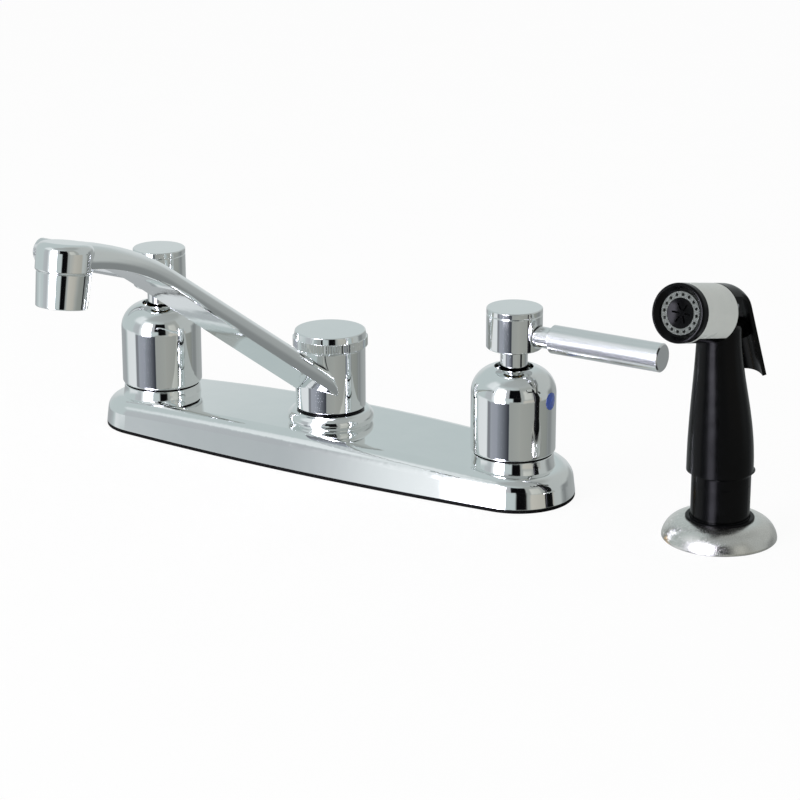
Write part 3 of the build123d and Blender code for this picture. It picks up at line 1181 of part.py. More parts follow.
with BuildPart() as wand_shell:
    for i in range(GRIP_SECTIONS):
        along = i / (GRIP_SECTIONS - 1)
        eased = (1 - cos(radians(180) * along**GRIP_EASING)) / 2
        height = GRIP_BOTTOM + along * (GRIP_TOP - GRIP_BOTTOM)
        lean = GRIP_FOOT_LEAN + (GRIP_LEAN - GRIP_FOOT_LEAN) * eased
        with BuildSketch(Plane(wand_point(lean, height), x_dir=across)):
            Circle(GRIP_BOTTOM_RADIUS + (GRIP_TOP_RADIUS - GRIP_BOTTOM_RADIUS) * eased)
    loft()
    fillet(wand_shell.edges().sort_by(Axis.Z)[-1:], WAND_CROWN_ROUND)
    wand_outline = [
        (0, wand_bottom),
        (WAND_FOOT_RADIUS - WAND_FOOT_CHAMFER, wand_bottom),
        (WAND_FOOT_RADIUS, wand_bottom + WAND_FOOT_CHAMFER),
    ]
    for mark in WAND_MARKS:
        wand_outline += [
            (WAND_FOOT_RADIUS, mark - WAND_MARK_DEPTH),
            (WAND_FOOT_RADIUS - WAND_MARK_DEPTH, mark),
            (WAND_FOOT_RADIUS, mark + WAND_MARK_DEPTH),
        ]
    wand_outline += [
        (WAND_FOOT_RADIUS, WAND_STEP_HEIGHT),
        (GRIP_BOTTOM_RADIUS, GRIP_BOTTOM),
        (0, GRIP_BOTTOM),
    ]
    revolve(closed_face(sprayer, *wand_outline), axis=sprayer_axis)
    # Head: a barrel that the band wraps, with a smaller boss for the trigger's pivot behind it.
    with BuildSketch(face_plane.offset(-BEZEL_DEPTH)):
        Circle(HEAD_CORE_RADIUS)
    extrude(amount=BEZEL_DEPTH - HEAD_BACK)
    with BuildSketch(face_plane.offset(-BAND_RIM_DEPTH)):
        Circle(HEAD_RADIUS)
        with Locations((0, HEAD_RADIUS + BAND_BOTTOM)):
            Rectangle(3 * HEAD_RADIUS, 2 * HEAD_RADIUS, mode=Mode.SUBTRACT)
    extrude(amount=BAND_RIM_DEPTH - HEAD_BACK)
    boss_back = -REAR_BOSS_BACK
    revolve(
        closed_face(
            head_section,
            (0, JOIN - HEAD_BACK),
            (REAR_BOSS_RADIUS, JOIN - HEAD_BACK),
            (REAR_BOSS_RADIUS, boss_back + REAR_BOSS_ROUND),
            (
                (REAR_BOSS_RADIUS - 0.3 * REAR_BOSS_ROUND, boss_back + 0.3 * REAR_BOSS_ROUND),
                (REAR_BOSS_RADIUS - REAR_BOSS_ROUND, boss_back),
            ),
            (0, boss_back),
        ),
        axis=head_axis,
    )
    # Waterways: up the grip, across the neck through the valve chamber, and along the head.
    with BuildSketch(Plane(wand_point(0, wand_bottom))):
        Circle(WAND_BORE_RADIUS)
    extrude(amount=WAND_BORE_TOP - wand_bottom, mode=Mode.SUBTRACT)
    with BuildSketch(Plane(wand_point(WAND_UPPER_BORE_LEAN, WAND_BORE_TOP - 2 * JOIN))):
        Circle(WAND_UPPER_BORE_RADIUS)
    extrude(amount=VALVE_ROD_HEIGHT - WAND_BORE_TOP + 2 * JOIN, mode=Mode.SUBTRACT)
    with BuildSketch(rod_plane.offset(VALVE_CHAMBER_FRONT)):
        Circle(VALVE_CHAMBER_RADIUS)
    extrude(amount=VALVE_CHAMBER_BACK - VALVE_CHAMBER_FRONT, mode=Mode.SUBTRACT)
    with BuildSketch(rod_plane):
        Circle(VALVE_ROD_RADIUS + RUNNING_GAP)
    extrude(amount=VALVE_ROD_TIP, both=True, mode=Mode.SUBTRACT)
    riser_depth = (FACE_REACH - RISER_LEAN) / cos(radians(HEAD_TILT))
    riser_top = FACE_HEIGHT - riser_depth * sin(radians(HEAD_TILT))
    with BuildSketch(Plane(wand_point(RISER_LEAN, VALVE_ROD_HEIGHT))):
        Circle(HEAD_BORE_RADIUS)
    extrude(amount=riser_top - VALVE_ROD_HEIGHT, mode=Mode.SUBTRACT)
    with BuildSketch(face_plane.offset(-riser_depth)):
        Circle(HEAD_BORE_RADIUS)
    extrude(amount=riser_depth, mode=Mode.SUBTRACT)
    with BuildSketch(face_plane.offset(-HEAD_CAVITY_DEPTH)):
        Circle(SPRAY_RING_RADIUS + SEAT_GAP)
    extrude(amount=HEAD_CAVITY_DEPTH, mode=Mode.SUBTRACT)
    with BuildSketch(pivot_plane):
        Circle(PIN_RADIUS + SEAT_GAP / 2)
    extrude(amount=HEAD_RADIUS, both=True, mode=Mode.SUBTRACT)
save(wand_shell.part, "wand_shell")

with BuildPart() as head_band:
    band_core = HEAD_CORE_RADIUS + SEAT_GAP
    with BuildSketch(face_plane.offset(-BEZEL_DEPTH)):
        Circle(HEAD_RADIUS)
        Circle(band_core, mode=Mode.SUBTRACT)
    extrude(amount=BEZEL_DEPTH - BAND_RIM_DEPTH + SEAT_GAP)
    with BuildSketch(face_plane.offset(-BAND_RIM_DEPTH + SEAT_GAP)):
        Circle(HEAD_RADIUS)
        Circle(band_core, mode=Mode.SUBTRACT)
        with Locations((0, BAND_BOTTOM + SEAT_GAP - HEAD_RADIUS)):
            Rectangle(3 * HEAD_RADIUS, 2 * HEAD_RADIUS, mode=Mode.SUBTRACT)
    extrude(amount=BAND_RIM_DEPTH - HEAD_BACK)
save(head_band.part, "head_band")

with BuildPart() as nozzle_bezel:
    revolve(
        closed_face(
            head_section,
            (SPRAY_RING_RADIUS + SEAT_GAP, -BEZEL_DEPTH),
            (HEAD_RADIUS, -BEZEL_DEPTH),
            (HEAD_RADIUS, BEZEL_PROUD - BEZEL_ROUND),
            (
                (
                    HEAD_RADIUS - (1 - diagonal) * BEZEL_ROUND,
                    BEZEL_PROUD - (1 - diagonal) * BEZEL_ROUND,
                ),
                (HEAD_RADIUS - BEZEL_ROUND, BEZEL_PROUD),
            ),
            (SPRAY_RING_RADIUS + BEZEL_DISH_EDGE, 0),
            (SPRAY_RING_RADIUS + SEAT_GAP, -SPRAY_RING_INSET),
        ),
        axis=head_axis,
    )
save(nozzle_bezel.part, "nozzle_bezel")

with BuildPart() as spray_ring:
    with BuildSketch(face_plane.offset(-SPRAY_RING_INSET)):
        Circle(SPRAY_RING_RADIUS)
        Circle(SPRAY_RING_INNER_RADIUS, mode=Mode.SUBTRACT)
        with PolarLocations(SPRAY_HOLE_CIRCLE, SPRAY_HOLES):
            Circle(SPRAY_HOLE_RADIUS, mode=Mode.SUBTRACT)
    extrude(amount=-SPRAY_RING_THICKNESS)
save(spray_ring.part, "spray_ring")

with BuildPart() as nozzle_core:
    core_radius = SPRAY_RING_INNER_RADIUS - SEAT_GAP
    core_top = -SPRAY_RING_INSET
    dish_radius = (core_radius**2 + NOZZLE_CORE_DISH**2) / (2 * NOZZLE_CORE_DISH)
    dish_middle = asin(core_radius / dish_radius) / 2
    dish_floor = core_top - NOZZLE_CORE_DISH
    revolve(
        closed_face(
            head_section,
            (0, core_top - SPRAY_RING_THICKNESS),
            (core_radius, core_top - SPRAY_RING_THICKNESS),
            (core_radius, core_top),
            (
                (dish_radius * sin(dish_middle), dish_floor + dish_radius * (1 - cos(dish_middle))),
                (0, dish_floor),
            ),
        ),
        axis=head_axis,
    )
    with BuildSketch(face_plane.offset(core_top)):
        with PolarLocations(0.45 * core_radius, NOZZLE_SLOTS):
            Rectangle(0.5 * core_radius, NOZZLE_SLOT_WIDTH)
    extrude(amount=-2 * NOZZLE_CORE_DISH, mode=Mode.SUBTRACT)
save(nozzle_core.part, "nozzle_core")

with BuildPart() as hose_coupling:
    revolve(
        closed_face(
            sprayer,
            (COUPLING_BORE_RADIUS, wand_bottom - COUPLING_LENGTH),
            (COUPLING_RADIUS - HANDLE_CHAMFER, wand_bottom - COUPLING_LENGTH),
            (COUPLING_RADIUS, wand_bottom - COUPLING_LENGTH + HANDLE_CHAMFER),
            (COUPLING_RADIUS, wand_bottom),
            (WAND_BORE_RADIUS - SEAT_GAP, wand_bottom),
            (WAND_BORE_RADIUS - SEAT_GAP, wand_bottom + COUPLING_SPIGOT_LENGTH),
            (COUPLING_BORE_RADIUS, wand_bottom + COUPLING_SPIGOT_LENGTH),
        ),
        axis=sprayer_axis,
    )
save(hose_coupling.part, "hose_coupling")

# ---------------------------------------------------------------- sprayer valve and trigger

rod_section = Plane(origin=rod_plane.origin, x_dir=across, z_dir=rod_plane.y_dir * -1)
rod_axis = Axis(rod_plane.origin, rearward)
head_back = VALVE_CHAMBER_BACK - 2 * FACE_GAP
head_front = head_back - VALVE_HEAD_THICKNESS
dome_centre = VALVE_ROD_TIP - VALVE_ROD_RADIUS

with BuildPart() as valve_plunger:
    revolve(
        closed_face(
            rod_section,
            (0, head_front),
            (VALVE_CHAMBER_RADIUS - RUNNING_GAP, head_front),
            (VALVE_CHAMBER_RADIUS - RUNNING_GAP, head_back),
            (VALVE_ROD_RADIUS, head_back),
            (VALVE_ROD_RADIUS, dome_centre),
            (
                (VALVE_ROD_RADIUS * diagonal, dome_centre + VALVE_ROD_RADIUS * diagonal),
                (0, VALVE_ROD_TIP),
            ),
        ),
        axis=rod_axis,
    )
save(valve_plunger.part, "valve_plunger")

with BuildPart() as valve_spring:
    coil(
        rod_plane.offset(VALVE_CHAMBER_FRONT + SEAT_GAP),
        VALVE_SPRING_RADIUS,
        head_front - VALVE_CHAMBER_FRONT - 2 * SEAT_GAP,
    )
save(valve_spring.part, "valve_spring")

with BuildPart() as trigger_pin:
    with BuildSketch(pivot_plane):
        Circle(PIN_RADIUS)
    extrude(amount=EAR_INNER + EAR_THICKNESS + SEAT_GAP, both=True)
save(trigger_pin.part, "trigger_pin")

bend_centre = face_plane.origin - face_normal * TRIGGER_BEND
drop_direction = rearward * cos(radians(TRIGGER_DROP)) - Vector(0, 0, sin(radians(TRIGGER_DROP)))
drop_outward = rearward * sin(radians(TRIGGER_DROP)) + Vector(0, 0, cos(radians(TRIGGER_DROP)))
tip_rise = TRIGGER_TIP_HEIGHT - HEAD_RADIUS * drop_outward.Z
drop_length = (bend_centre.Z - tip_rise) / sin(radians(TRIGGER_DROP))
trigger_start = face_plane.offset(-TRIGGER_START)

with BuildPart() as trigger:
    with BuildLine() as trigger_route:
        FilletPolyline(
            trigger_start.origin,
            bend_centre,
            bend_centre + drop_direction * drop_length,
            radius=TRIGGER_BEND_RADIUS,
        )
    with BuildSketch(trigger_start):
        with BuildLine():
            right = 90 - TRIGGER_HALF_ANGLE
            outer = CenterArc((0, 0), HEAD_RADIUS, right, 2 * TRIGGER_HALF_ANGLE)
            inner = CenterArc((0, 0), HEAD_RADIUS - TRIGGER_WALL, right, 2 * TRIGGER_HALF_ANGLE)
            Line(outer @ 0, inner @ 0)
            Line(outer @ 1, inner @ 1)
        make_face()
    sweep(path=trigger_route.line, transition=Transition.ROUND)
    # Legs from the gutter's edges down beside the head's boss, with the pivot hole across them.
    leg_middle = EAR_INNER + EAR_THICKNESS / 2
    leg_height = HEAD_RADIUS + EAR_RADIUS - PIVOT_RISE
    with BuildSketch(face_plane.offset(-PIVOT_DEPTH - EAR_RADIUS)):
        with Locations((-leg_middle, HEAD_RADIUS - leg_height / 2), (leg_middle, HEAD_RADIUS - leg_height / 2)):
            Rectangle(EAR_THICKNESS, leg_height)
        Circle(HEAD_RADIUS, mode=Mode.INTERSECT)
    extrude(amount=2 * EAR_RADIUS)
    leg_edges = trigger.edges(Select.LAST).filter_by(Axis(pivot, across))
    fillet(leg_edges.sort_by(Axis(pivot, head_up))[:4], EAR_RADIUS - SEAT_GAP)
    with BuildSketch(pivot_plane):
        Circle(PIN_RADIUS + RUNNING_GAP)
    extrude(amount=HEAD_RADIUS, both=True, mode=Mode.SUBTRACT)
    # Pad that pushes the valve rod.
    pad_reach = bend_centre + drop_outward * (HEAD_RADIUS - TRIGGER_WALL / 2)
    pad_back_top = (pad_reach - foot).dot(rearward)
    with BuildSketch(side_view):
        with BuildLine():
            slope_out = cos(radians(TRIGGER_DROP)) / sin(radians(TRIGGER_DROP))
            Polyline(
                (TRIGGER_PAD_FRONT, TRIGGER_PAD_BOTTOM),
                (TRIGGER_PAD_FRONT, TRIGGER_PAD_TOP),
                (pad_back_top + (pad_reach.Z - TRIGGER_PAD_TOP) * slope_out, TRIGGER_PAD_TOP),
                (pad_back_top + (pad_reach.Z - TRIGGER_PAD_BOTTOM) * slope_out, TRIGGER_PAD_BOTTOM),
                close=True,
            )
        make_face()
    extrude(amount=TRIGGER_PAD_WIDTH / 2, both=True)
save(trigger.part, "trigger")
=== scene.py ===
"""Looks of the two-handle kitchen faucet: finishes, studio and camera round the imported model.

Metres, in the part's frame: +X right (cold side), -Y towards the person at the sink, +Z up, the
deck's surface at Z = 0. The studio's azimuths go round Z from the camera's side, + to its right.
"""

import json
import math

import bpy
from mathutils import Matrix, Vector

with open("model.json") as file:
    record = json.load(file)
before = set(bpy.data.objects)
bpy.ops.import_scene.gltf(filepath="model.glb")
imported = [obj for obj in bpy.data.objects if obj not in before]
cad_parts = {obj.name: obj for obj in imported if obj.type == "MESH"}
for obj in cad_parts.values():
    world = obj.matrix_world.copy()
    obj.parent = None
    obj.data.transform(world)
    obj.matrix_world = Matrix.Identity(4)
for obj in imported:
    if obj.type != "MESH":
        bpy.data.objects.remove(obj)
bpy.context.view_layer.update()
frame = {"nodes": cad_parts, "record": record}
scene = bpy.context.scene
scene.view_settings.view_transform = "Standard"

MM = 0.001
NOISE_SPAN = (0.25, 0.75)  # most of the noise lies between these
EDGE_SAMPLES = 6  # rays that soften an edge in the shading

# ---------------------------------------------------------------- camera

CAMERA_AIM = Vector((0.0240, 0.0249, 0.0258))
CAMERA_AZIMUTH = math.radians(32.04)  # from straight in front, towards +X
CAMERA_ELEVATION = math.radians(17.92)
CAMERA_DISTANCE = 1.3059
CAMERA_LENS = 120.49
SENSOR_WIDTH = 36.0

camera_side = Vector((math.sin(CAMERA_AZIMUTH), -math.cos(CAMERA_AZIMUTH), 0))
camera_right = Vector((math.cos(CAMERA_AZIMUTH), math.sin(CAMERA_AZIMUTH), 0))
UP = Vector((0, 0, 1))


def studio_direction(azimuth, elevation):
    """Unit vector to a place in the studio, in degrees from the camera's side and the horizon."""
    turn, rise = math.radians(azimuth), math.radians(elevation)
    level = camera_side * math.cos(turn) + camera_right * math.sin(turn)
    return level * math.cos(rise) + UP * math.sin(rise)


def add_camera():
    data = bpy.data.cameras.new("photo_camera")
    data.lens = CAMERA_LENS
    data.sensor_width = SENSOR_WIDTH
    camera = bpy.data.objects.new("photo_camera", data)
    back = studio_direction(0, math.degrees(CAMERA_ELEVATION))
    camera.location = CAMERA_AIM + back * CAMERA_DISTANCE
    camera.rotation_euler = back.to_track_quat("Z", "Y").to_euler()
    scene.collection.objects.link(camera)
    scene.camera = camera


# ---------------------------------------------------------------- node helpers


def linear(red, green, blue):
    """Shader colour of a display colour written 0 to 255."""
    share = [value / 255 for value in (red, green, blue)]
    return (*(v / 12.92 if v < 0.04045 else ((v + 0.055) / 1.055) ** 2.4 for v in share), 1.0)


class Tree:
    """A node tree with short calls for the nodes that the materials and the studio share."""

    def __init__(self, owner):
        owner.use_nodes = True
        self.nodes = owner.node_tree.nodes
        self.links = owner.node_tree.links

    def node(self, kind, inputs=None, **settings):
        made = self.nodes.new("ShaderNode" + kind)
        for name, value in settings.items():
            setattr(made, name, value)
        for name, value in (inputs or {}).items():
            self.put(made.inputs[name], value)
        return made

    def put(self, socket, value):
        """Links an output to the socket, or writes a constant in it."""
        if isinstance(value, bpy.types.NodeSocket):
            self.links.new(value, socket)
        else:
            socket.default_value = value

    def math(self, operation, *values):
        return self.node("Math", dict(enumerate(values)), operation=operation).outputs[0]

    def dot(self, first, second):
        return self.node("VectorMath", {0: first, 1: second}, operation="DOT_PRODUCT").outputs["Value"]

    def remap(self, value, start, end, low=0.0, high=1.0, smooth=False):
        ranges = {"Value": value, "From Min": start, "From Max": end, "To Min": low, "To Max": high}
        kind = "SMOOTHSTEP" if smooth else "LINEAR"
        return self.node("MapRange", ranges, interpolation_type=kind).outputs["Result"]

    def mix(self, factor, first, second):
        made = self.node("Mix", data_type="RGBA")
        for index, value in ((0, factor), (6, first), (7, second)):
            self.put(made.inputs[index], value)
        return made.outputs[2]

    def noise(self, size, detail=2.0, roughness=0.5, scale=(1, 1, 1)):
        """Noise from 0 to 1, of about that grain size in metres, drawn out where the scale is under 1."""
        own = self.node("TexCoord").outputs["Object"]
        place = self.node("Mapping", {"Vector": own, "Scale": scale}).outputs[0]
        inputs = {"Vector": place, "Scale": 1 / size, "Detail": detail, "Roughness": roughness}
        return self.node("TexNoise", inputs).outputs["Fac"]


class Finish(Tree):
    """A material under way: one Principled shader with constants, then patterns linked to it."""

    def __init__(self, name, **constants):
        self.material = bpy.data.materials.new(name)
        super().__init__(self.material)
        self.shader = self.nodes["Principled BSDF"]
        self.normal = None
        for key, value in constants.items():
            self.shader.inputs[key.replace("_", " ").title().replace("Ior", "IOR")].default_value = value

    def colour(self, factor, first, second):
        """Base colour that goes from the first to the second with a pattern."""
        self.put(self.shader.inputs["Base Color"], self.mix(factor, first, second))

    def roughness(self, factor, low, high):
        """Roughness between two values, over the span that noise really covers."""
        self.put(self.shader.inputs["Roughness"], self.remap(factor, *NOISE_SPAN, low, high))

    def bump(self, height, depth):
        """Raises the surface in the shading by that depth, over the softened edges if there are any."""
        inputs = {"Height": height, "Distance": depth, "Strength": 1.0}
        if self.normal is not None:
            inputs["Normal"] = self.normal
        self.normal = self.node("Bump", inputs).outputs["Normal"]
        self.put(self.shader.inputs["Normal"], self.normal)

    def soft_edges(self, radius):
        """Rounds sharp edges in the shading, as plating and moulding do."""
        self.normal = self.node("Bevel", {"Radius": radius}, samples=EDGE_SAMPLES).outputs["Normal"]
        self.put(self.shader.inputs["Normal"], self.normal)


# ---------------------------------------------------------------- finishes


def chrome():
    """Polished chrome plate: a faint waviness, thin hazy wipe marks and the softened cast edges."""
    finish = Finish("chrome", metallic=1.0)
    finish.soft_edges(radius=0.25 * MM)
    wipes = finish.noise(size=14 * MM, detail=5, scale=(1, 1, 0.35))
    finish.colour(wipes, (0.83, 0.85, 0.85, 1), (0.89, 0.90, 0.895, 1))
    finish.roughness(wipes, low=0.02, high=0.055)
    finish.bump(finish.noise(size=9 * MM, detail=1), depth=0.018 * MM)
    return finish.material


def lever_chrome(side):
    """Chrome drawn lengthwise: fine streaks along the lever's rod blur what it mirrors."""
    finish = Finish(f"{side}_lever_chrome", metallic=1.0)
    finish.soft_edges(radius=0.3 * MM)
    streaks = finish.noise(size=0.45 * MM, detail=5, roughness=0.65, scale=(0.02, 1, 1))
    finish.colour(streaks, (0.70, 0.71, 0.72, 1), (0.93, 0.93, 0.93, 1))
    finish.roughness(streaks, low=0.13, high=0.22)
    finish.bump(streaks, depth=0.015 * MM)
    return finish.material


def satin_nickel():
    """Bead-blasted and plated flange: fine grain with slightly warmer, duller patches."""
    finish = Finish("satin_nickel", metallic=1.0)
    finish.soft_edges(radius=0.3 * MM)
    patches = finish.noise(size=9 * MM, detail=4, roughness=0.6)
    finish.colour(patches, (0.60, 0.585, 0.56, 1), (0.86, 0.85, 0.82, 1))
    grain = finish.noise(size=0.35 * MM, detail=3, roughness=0.7)
    both = finish.math("MULTIPLY_ADD", grain, 0.5, finish.math("MULTIPLY", patches, 0.5))
    finish.roughness(both, low=0.17, high=0.36)
    finish.bump(grain, depth=0.02 * MM)
    return finish.material


def brass():
    """Turned brass: fine rings round upright axes, darkened here and there."""
    finish = Finish("machined_brass", metallic=1.0)
    finish.soft_edges(radius=0.2 * MM)
    tarnish = finish.noise(size=12 * MM, detail=4)
    finish.colour(tarnish, linear(190, 152, 84), linear(222, 190, 122))
    rings = finish.noise(size=0.3 * MM, detail=2, scale=(0.05, 0.05, 1))
    finish.roughness(rings, low=0.18, high=0.34)
    finish.bump(rings, depth=0.01 * MM)
    return finish.material


def steel(name, dark, light, rough):
    """Stainless or zinc-plated steel with faint spangle and drawing marks."""
    finish = Finish(name, metallic=1.0)
    finish.soft_edges(radius=0.15 * MM)
    spangle = finish.noise(size=3 * MM, detail=3)
    finish.colour(spangle, dark, light)
    marks = finish.noise(size=0.25 * MM, detail=2, scale=(1, 1, 0.15))
    finish.roughness(marks, low=rough - 0.07, high=rough + 0.07)
    finish.bump(marks, depth=0.008 * MM)
    return finish.material


def rubber():
    """Moulded black rubber, slightly dusty."""
    finish = Finish("black_rubber", specular_ior_level=0.05)
    dust = finish.noise(size=4 * MM, detail=5, roughness=0.65)
    finish.colour(dust, (0.0015, 0.0015, 0.0016, 1), (0.006, 0.006, 0.0062, 1))
    finish.roughness(dust, low=0.5, high=0.72)
    finish.bump(finish.noise(size=0.4 * MM, detail=3), depth=0.03 * MM)
    return finish.material


def nylon():
    """Black nylon of the wear ring, the sprayer's holder and its nut: fine moulded texture."""
    finish = Finish("black_nylon", specular_ior_level=0.07)
    finish.soft_edges(radius=0.2 * MM)
    cloud = finish.noise(size=8 * MM, detail=3)
    finish.colour(cloud, (0.0012, 0.0012, 0.0015, 1), (0.004, 0.004, 0.0046, 1))
    finish.roughness(cloud, low=0.16, high=0.28)
    finish.bump(finish.noise(size=0.3 * MM, detail=2), depth=0.012 * MM)
    return finish.material


def gloss_black():
    """Injection-moulded gloss black of the wand: deep shine, faint sink marks and fingerprints."""
    finish = Finish("gloss_black", specular_ior_level=0.13)
    finish.soft_edges(radius=0.3 * MM)
    prints = finish.noise(size=6 * MM, detail=6, roughness=0.6)
    finish.colour(prints, (0.0006, 0.0006, 0.0008, 1), (0.0016, 0.0016, 0.0021, 1))
    finish.roughness(prints, low=0.16, high=0.24)
    finish.bump(finish.noise(size=13 * MM, detail=1), depth=0.04 * MM)
    return finish.material


def grey_plastic(name, dark, light):
    """Grey satin plastic of the head's band and the spray ring."""
    finish = Finish(name, specular_ior_level=0.3)
    finish.soft_edges(radius=0.3 * MM)
    cloud = finish.noise(size=9 * MM, detail=4)
    finish.colour(cloud, dark, light)
    finish.roughness(cloud, low=0.26, high=0.36)
    finish.bump(finish.noise(size=0.35 * MM, detail=2), depth=0.012 * MM)
    return finish.material


def pale_moulding(name, dark, light, rough):
    """White acetal or ceramic inside the valves and the outlet."""
    finish = Finish(name, specular_ior_level=0.5)
    cloud = finish.noise(size=3 * MM, detail=3)
    finish.colour(cloud, dark, light)
    finish.roughness(cloud, low=rough, high=rough + 0.1)
    finish.bump(finish.noise(size=0.3 * MM, detail=2), depth=0.008 * MM)
    return finish.material


def index_enamel(name, dark, light):
    """Glossy coloured index dot with a clear coat."""
    finish = Finish(name, coat_weight=0.8, coat_roughness=0.05)
    finish.soft_edges(radius=0.2 * MM)
    cloud = finish.noise(size=1.5 * MM, detail=3)
    finish.colour(cloud, dark, light)
    finish.roughness(cloud, low=0.2, high=0.3)
    finish.bump(finish.noise(size=0.5 * MM), depth=0.01 * MM)
    return finish.material


def dress_nodes():
    """Gives each carried-over node its own finish, or else that of its material slot."""
    finishes = {
        "chrome": chrome(),
        "satin_nickel": satin_nickel(),
        "brass": brass(),
        "steel": steel("stainless_steel", linear(196, 198, 200), linear(214, 216, 218), 0.22),
        "zinc_nut": steel("zinc_plate", linear(178, 180, 178), linear(206, 206, 198), 0.32),
        "black_rubber": rubber(),
        "black_nylon": nylon(),
        "gloss_black": gloss_black(),
        "grey_plastic": grey_plastic("light_grey_plastic", linear(192, 197, 193), linear(206, 209, 204)),
        "white_plastic": pale_moulding("white_acetal", linear(226, 226, 220), linear(238, 238, 234), 0.32),
        "ceramic": pale_moulding("ceramic", linear(234, 232, 222), linear(244, 243, 236), 0.12),
        "hot_red": index_enamel("hot_red", linear(168, 26, 30), linear(190, 36, 38)),
        "cold_blue": index_enamel("cold_blue", linear(30, 62, 150), linear(44, 84, 178)),
    }
    own = {f"{side}_lever": lever_chrome(side) for side in ("hot", "cold")}
    own["nozzle_core"] = finishes["black_nylon"]
    own["spray_ring"] = grey_plastic("mid_grey_plastic", linear(112, 117, 116), linear(130, 134, 132))
    for part in frame["record"]["subparts"]:
        node = part["node"]
        piece = frame["nodes"][node]
        piece.data.materials.clear()
        piece.data.materials.append(own.get(node, finishes[part["material_slot"]]))


# ---------------------------------------------------------------- studio

CHROME_SHARE = 0.86  # how much of the studio's light the chrome gives back
BACKDROP = (181, 191, 192)  # display colour of the studio where no card stands
DIFFUSE_LEVEL = 0.72  # the plain level that lights matt surfaces from all round
KEY_POWER = 9.0  # watts
KEY_SIZE = 0.9
KEY_DISTANCE = 1.6
KEY_AZIMUTH = -54
KEY_ELEVATION = 34
FLOOR_REACH = 4.0  # from the middle to each side
FLOOR_GREY = (0.90, 0.94)  # base colour of its faint specks
FLOOR_SPECK = 60 * MM
FLOOR_SPECK_SPAN = (0.3, 0.7)  # the noise values between which the grey changes
FLOOR_ROUGHNESS = 0.9
FLOOR_GLOW = 0.92  # how much of the floor the camera sees as plain white; the rest takes the shadow

# Cards and flags round the table, each over the last: its azimuths and elevations, the width of
# its soft edges there (all in degrees), and the display colours in which polished chrome shows
# its left and its right end.
CARDS = (
    ((2, 158), (-99, 99), (44, 9), (166, 172, 171), (176, 180, 179)),  # plain wall on the right
    ((-64, 130), (52, 99), (50, 18), (160, 165, 166), (150, 154, 152)),  # dim ceiling over the table
    ((152, 181), (-99, 16), (16, 10), (186, 191, 192), (206, 212, 213)),  # pale wall behind
    ((-181, -152), (-99, 16), (22, 10), (206, 212, 213), (190, 195, 196)),
    ((-181, -118), (-60, -12), (12, 5), (164, 168, 170), (152, 156, 159)),  # floor behind, at the left
    ((148, 181), (-60, -12), (10, 5), (150, 154, 155), (164, 168, 170)),  # and at the right
    ((16, 62), (-12, 50), (4, 14), (152, 156, 154), (154, 157, 154)),  # wall right of the camera
    ((27, 49), (-1, 34), (5, 10), (192, 194, 189), (180, 182, 177)),
    ((25, 78), (-14, -4), (6, 4), (184, 182, 174), (163, 161, 153)),  # warm table edge on the right
    ((14, 104), (-60, -14), (4, 4), (152, 154, 150), (130, 134, 130)),  # table in front of it
    ((102, 130), (-60, 5), (14, 10), (121, 125, 126), (130, 134, 134)),  # dark corner
    ((124, 154), (-60, 9), (12, 12), (148, 152, 152), (156, 160, 160)),
    ((-96, -62), (28, 57), (16, 12), (210, 216, 218), (224, 229, 231)),  # softbox's left wing
    ((-84, -59), (-10, 26), (7, 12), (176, 181, 184), (168, 172, 176)),  # its stand
    ((-112, -76), (-60, -9), (10, 5), (212, 216, 218), (218, 221, 224)),  # white table card, low left
    ((-76, -65), (-60, -14), (4, 4), (118, 121, 126), (124, 127, 134)),  # its shaded edge
    ((-66, -40), (-60, -14), (5, 4), (150, 154, 163), (142, 146, 156)),
    ((-46, -13), (-60, -14), (4, 4), (136, 141, 150), (36, 38, 46)),  # cool shadow side, low down
    ((-13, 15), (-60, -9), (2, 3), (146, 149, 147), (152, 155, 151)),  # table under the camera
    ((-60, -29), (-14, 46), (13, 4), (232, 236, 239), (246, 248, 248)),  # tall softbox on the left
    ((-30, -12), (5, 44), (4, 8), (188, 191, 193), (160, 163, 167)),  # its side
    ((-14, 17), (7, 42), (2, 5), (7, 7, 9), (9, 9, 11)),  # black flag at the camera
    ((-4, 18), (-9, 9), (5, 3), (7, 7, 9), (12, 12, 13)),
)

# The softbox's own lamp and its glare on the table, brighter than white: only black plastic
# shows how bright they are.
LAMPS = (
    ((-51, -27), (-15, 38), (7, 2.5), (15.0, 14.7, 17.0, 1)),
    ((-50, -26), (-46, -22), (6, 2.5), (9.0, 8.8, 10.6, 1)),
)


def card_mask(tree, azimuth, elevation, azimuths, elevations, edges):
    """1 where a direction meets the card, 0 off it, with soft edges."""
    mask = 1.0
    for angle, span, edge in zip((azimuth, elevation), (azimuths, elevations), edges):
        for limit, before, after in zip(span, (0, 1), (1, 0)):
            ramp = tree.remap(angle, limit - edge / 2, limit + edge / 2, before, after, smooth=True)
            mask = tree.math("MULTIPLY", mask, ramp)
    return mask


def shown_as(colour):
    """The card colour that polished chrome shows as this display colour."""
    return (*(value / CHROME_SHARE for value in linear(*colour)[:3]), 1.0)


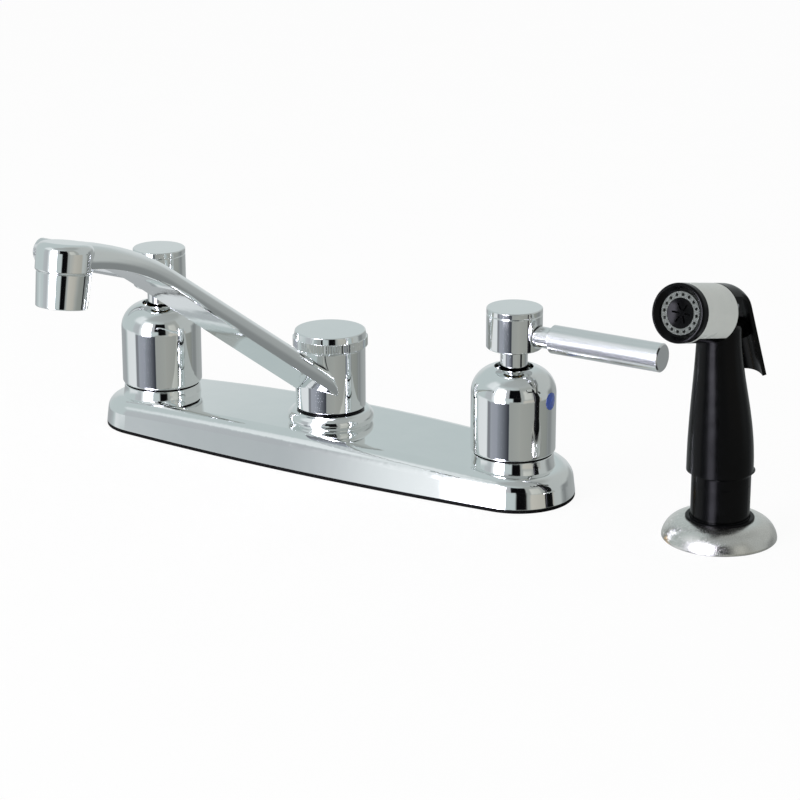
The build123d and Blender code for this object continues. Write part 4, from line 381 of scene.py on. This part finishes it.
def add_studio():
    """World: white to the camera, cards to shiny surfaces, one plain level to matt ones."""
    world = bpy.data.worlds.new("studio")
    scene.world = world
    tree = Tree(world)
    direction = tree.node("TexCoord").outputs["Generated"]
    ahead, beside = (tree.dot(direction, tuple(side)) for side in (camera_side, camera_right))
    azimuth = tree.math("MULTIPLY", tree.math("ARCTAN2", beside, ahead), math.degrees(1))
    height = tree.node("SeparateXYZ", {0: direction}).outputs["Z"]
    elevation = tree.math("MULTIPLY", tree.math("ARCSINE", height), math.degrees(1))
    colour = shown_as(BACKDROP)
    for azimuths, elevations, edges, left, right in CARDS:
        card = tree.mix(tree.remap(azimuth, *azimuths), shown_as(left), shown_as(right))
        colour = tree.mix(card_mask(tree, azimuth, elevation, azimuths, elevations, edges), colour, card)
    for azimuths, elevations, edges, lamp in LAMPS:
        colour = tree.mix(card_mask(tree, azimuth, elevation, azimuths, elevations, edges), colour, lamp)
    path = tree.node("LightPath").outputs
    plain = (DIFFUSE_LEVEL, DIFFUSE_LEVEL, DIFFUSE_LEVEL, 1)
    shiny = tree.math("MAXIMUM", path["Is Glossy Ray"], path["Is Transmission Ray"])
    colour = tree.mix(shiny, plain, colour)
    colour = tree.mix(path["Is Camera Ray"], colour, (1, 1, 1, 1))
    tree.put(tree.nodes["Background"].inputs["Color"], colour)


def add_key_light():
    """One soft lamp where the softbox stands, for the matt surfaces and the floor's shadow."""
    data = bpy.data.lights.new("key", "AREA")
    data.energy = KEY_POWER
    data.size = KEY_SIZE
    lamp = bpy.data.objects.new("key", data)
    side = studio_direction(KEY_AZIMUTH, KEY_ELEVATION)
    lamp.location = side * KEY_DISTANCE
    lamp.rotation_euler = side.to_track_quat("Z", "Y").to_euler()
    lamp.visible_glossy = False
    scene.collection.objects.link(lamp)


def add_floor():
    """Pale floor at the deck's surface: near white to the camera, and still takes the shadow."""
    corners = [(x * FLOOR_REACH, y * FLOOR_REACH, 0) for x, y in ((-1, -1), (1, -1), (1, 1), (-1, 1))]
    mesh = bpy.data.meshes.new("floor")
    mesh.from_pydata(corners, [], [(0, 1, 2, 3)])
    floor = bpy.data.objects.new("floor", mesh)
    scene.collection.objects.link(floor)
    material = bpy.data.materials.new("pale_floor")
    tree = Tree(material)
    shader = tree.nodes["Principled BSDF"]
    shader.inputs["Roughness"].default_value = FLOOR_ROUGHNESS
    shader.inputs["Specular IOR Level"].default_value = 0.0
    speck = tree.remap(tree.noise(FLOOR_SPECK, detail=3), *FLOOR_SPECK_SPAN, *FLOOR_GREY)
    grey = tree.node("CombineColor", {0: speck, 1: speck, 2: speck}).outputs[0]
    tree.put(shader.inputs["Base Color"], grey)
    glow = tree.node("Emission", {"Color": (1, 1, 1, 1), "Strength": 1.0})
    seen = tree.math("MULTIPLY", tree.node("LightPath").outputs["Is Camera Ray"], FLOOR_GLOW)
    blend = tree.node("MixShader", {0: seen, 1: shader.outputs[0], 2: glow.outputs[0]})
    tree.put(tree.nodes["Material Output"].inputs["Surface"], blend.outputs[0])
    mesh.materials.append(material)
    floor.visible_glossy = False


# ---------------------------------------------------------------- scene

add_camera()
add_floor()
add_studio()
add_key_light()
dress_nodes()
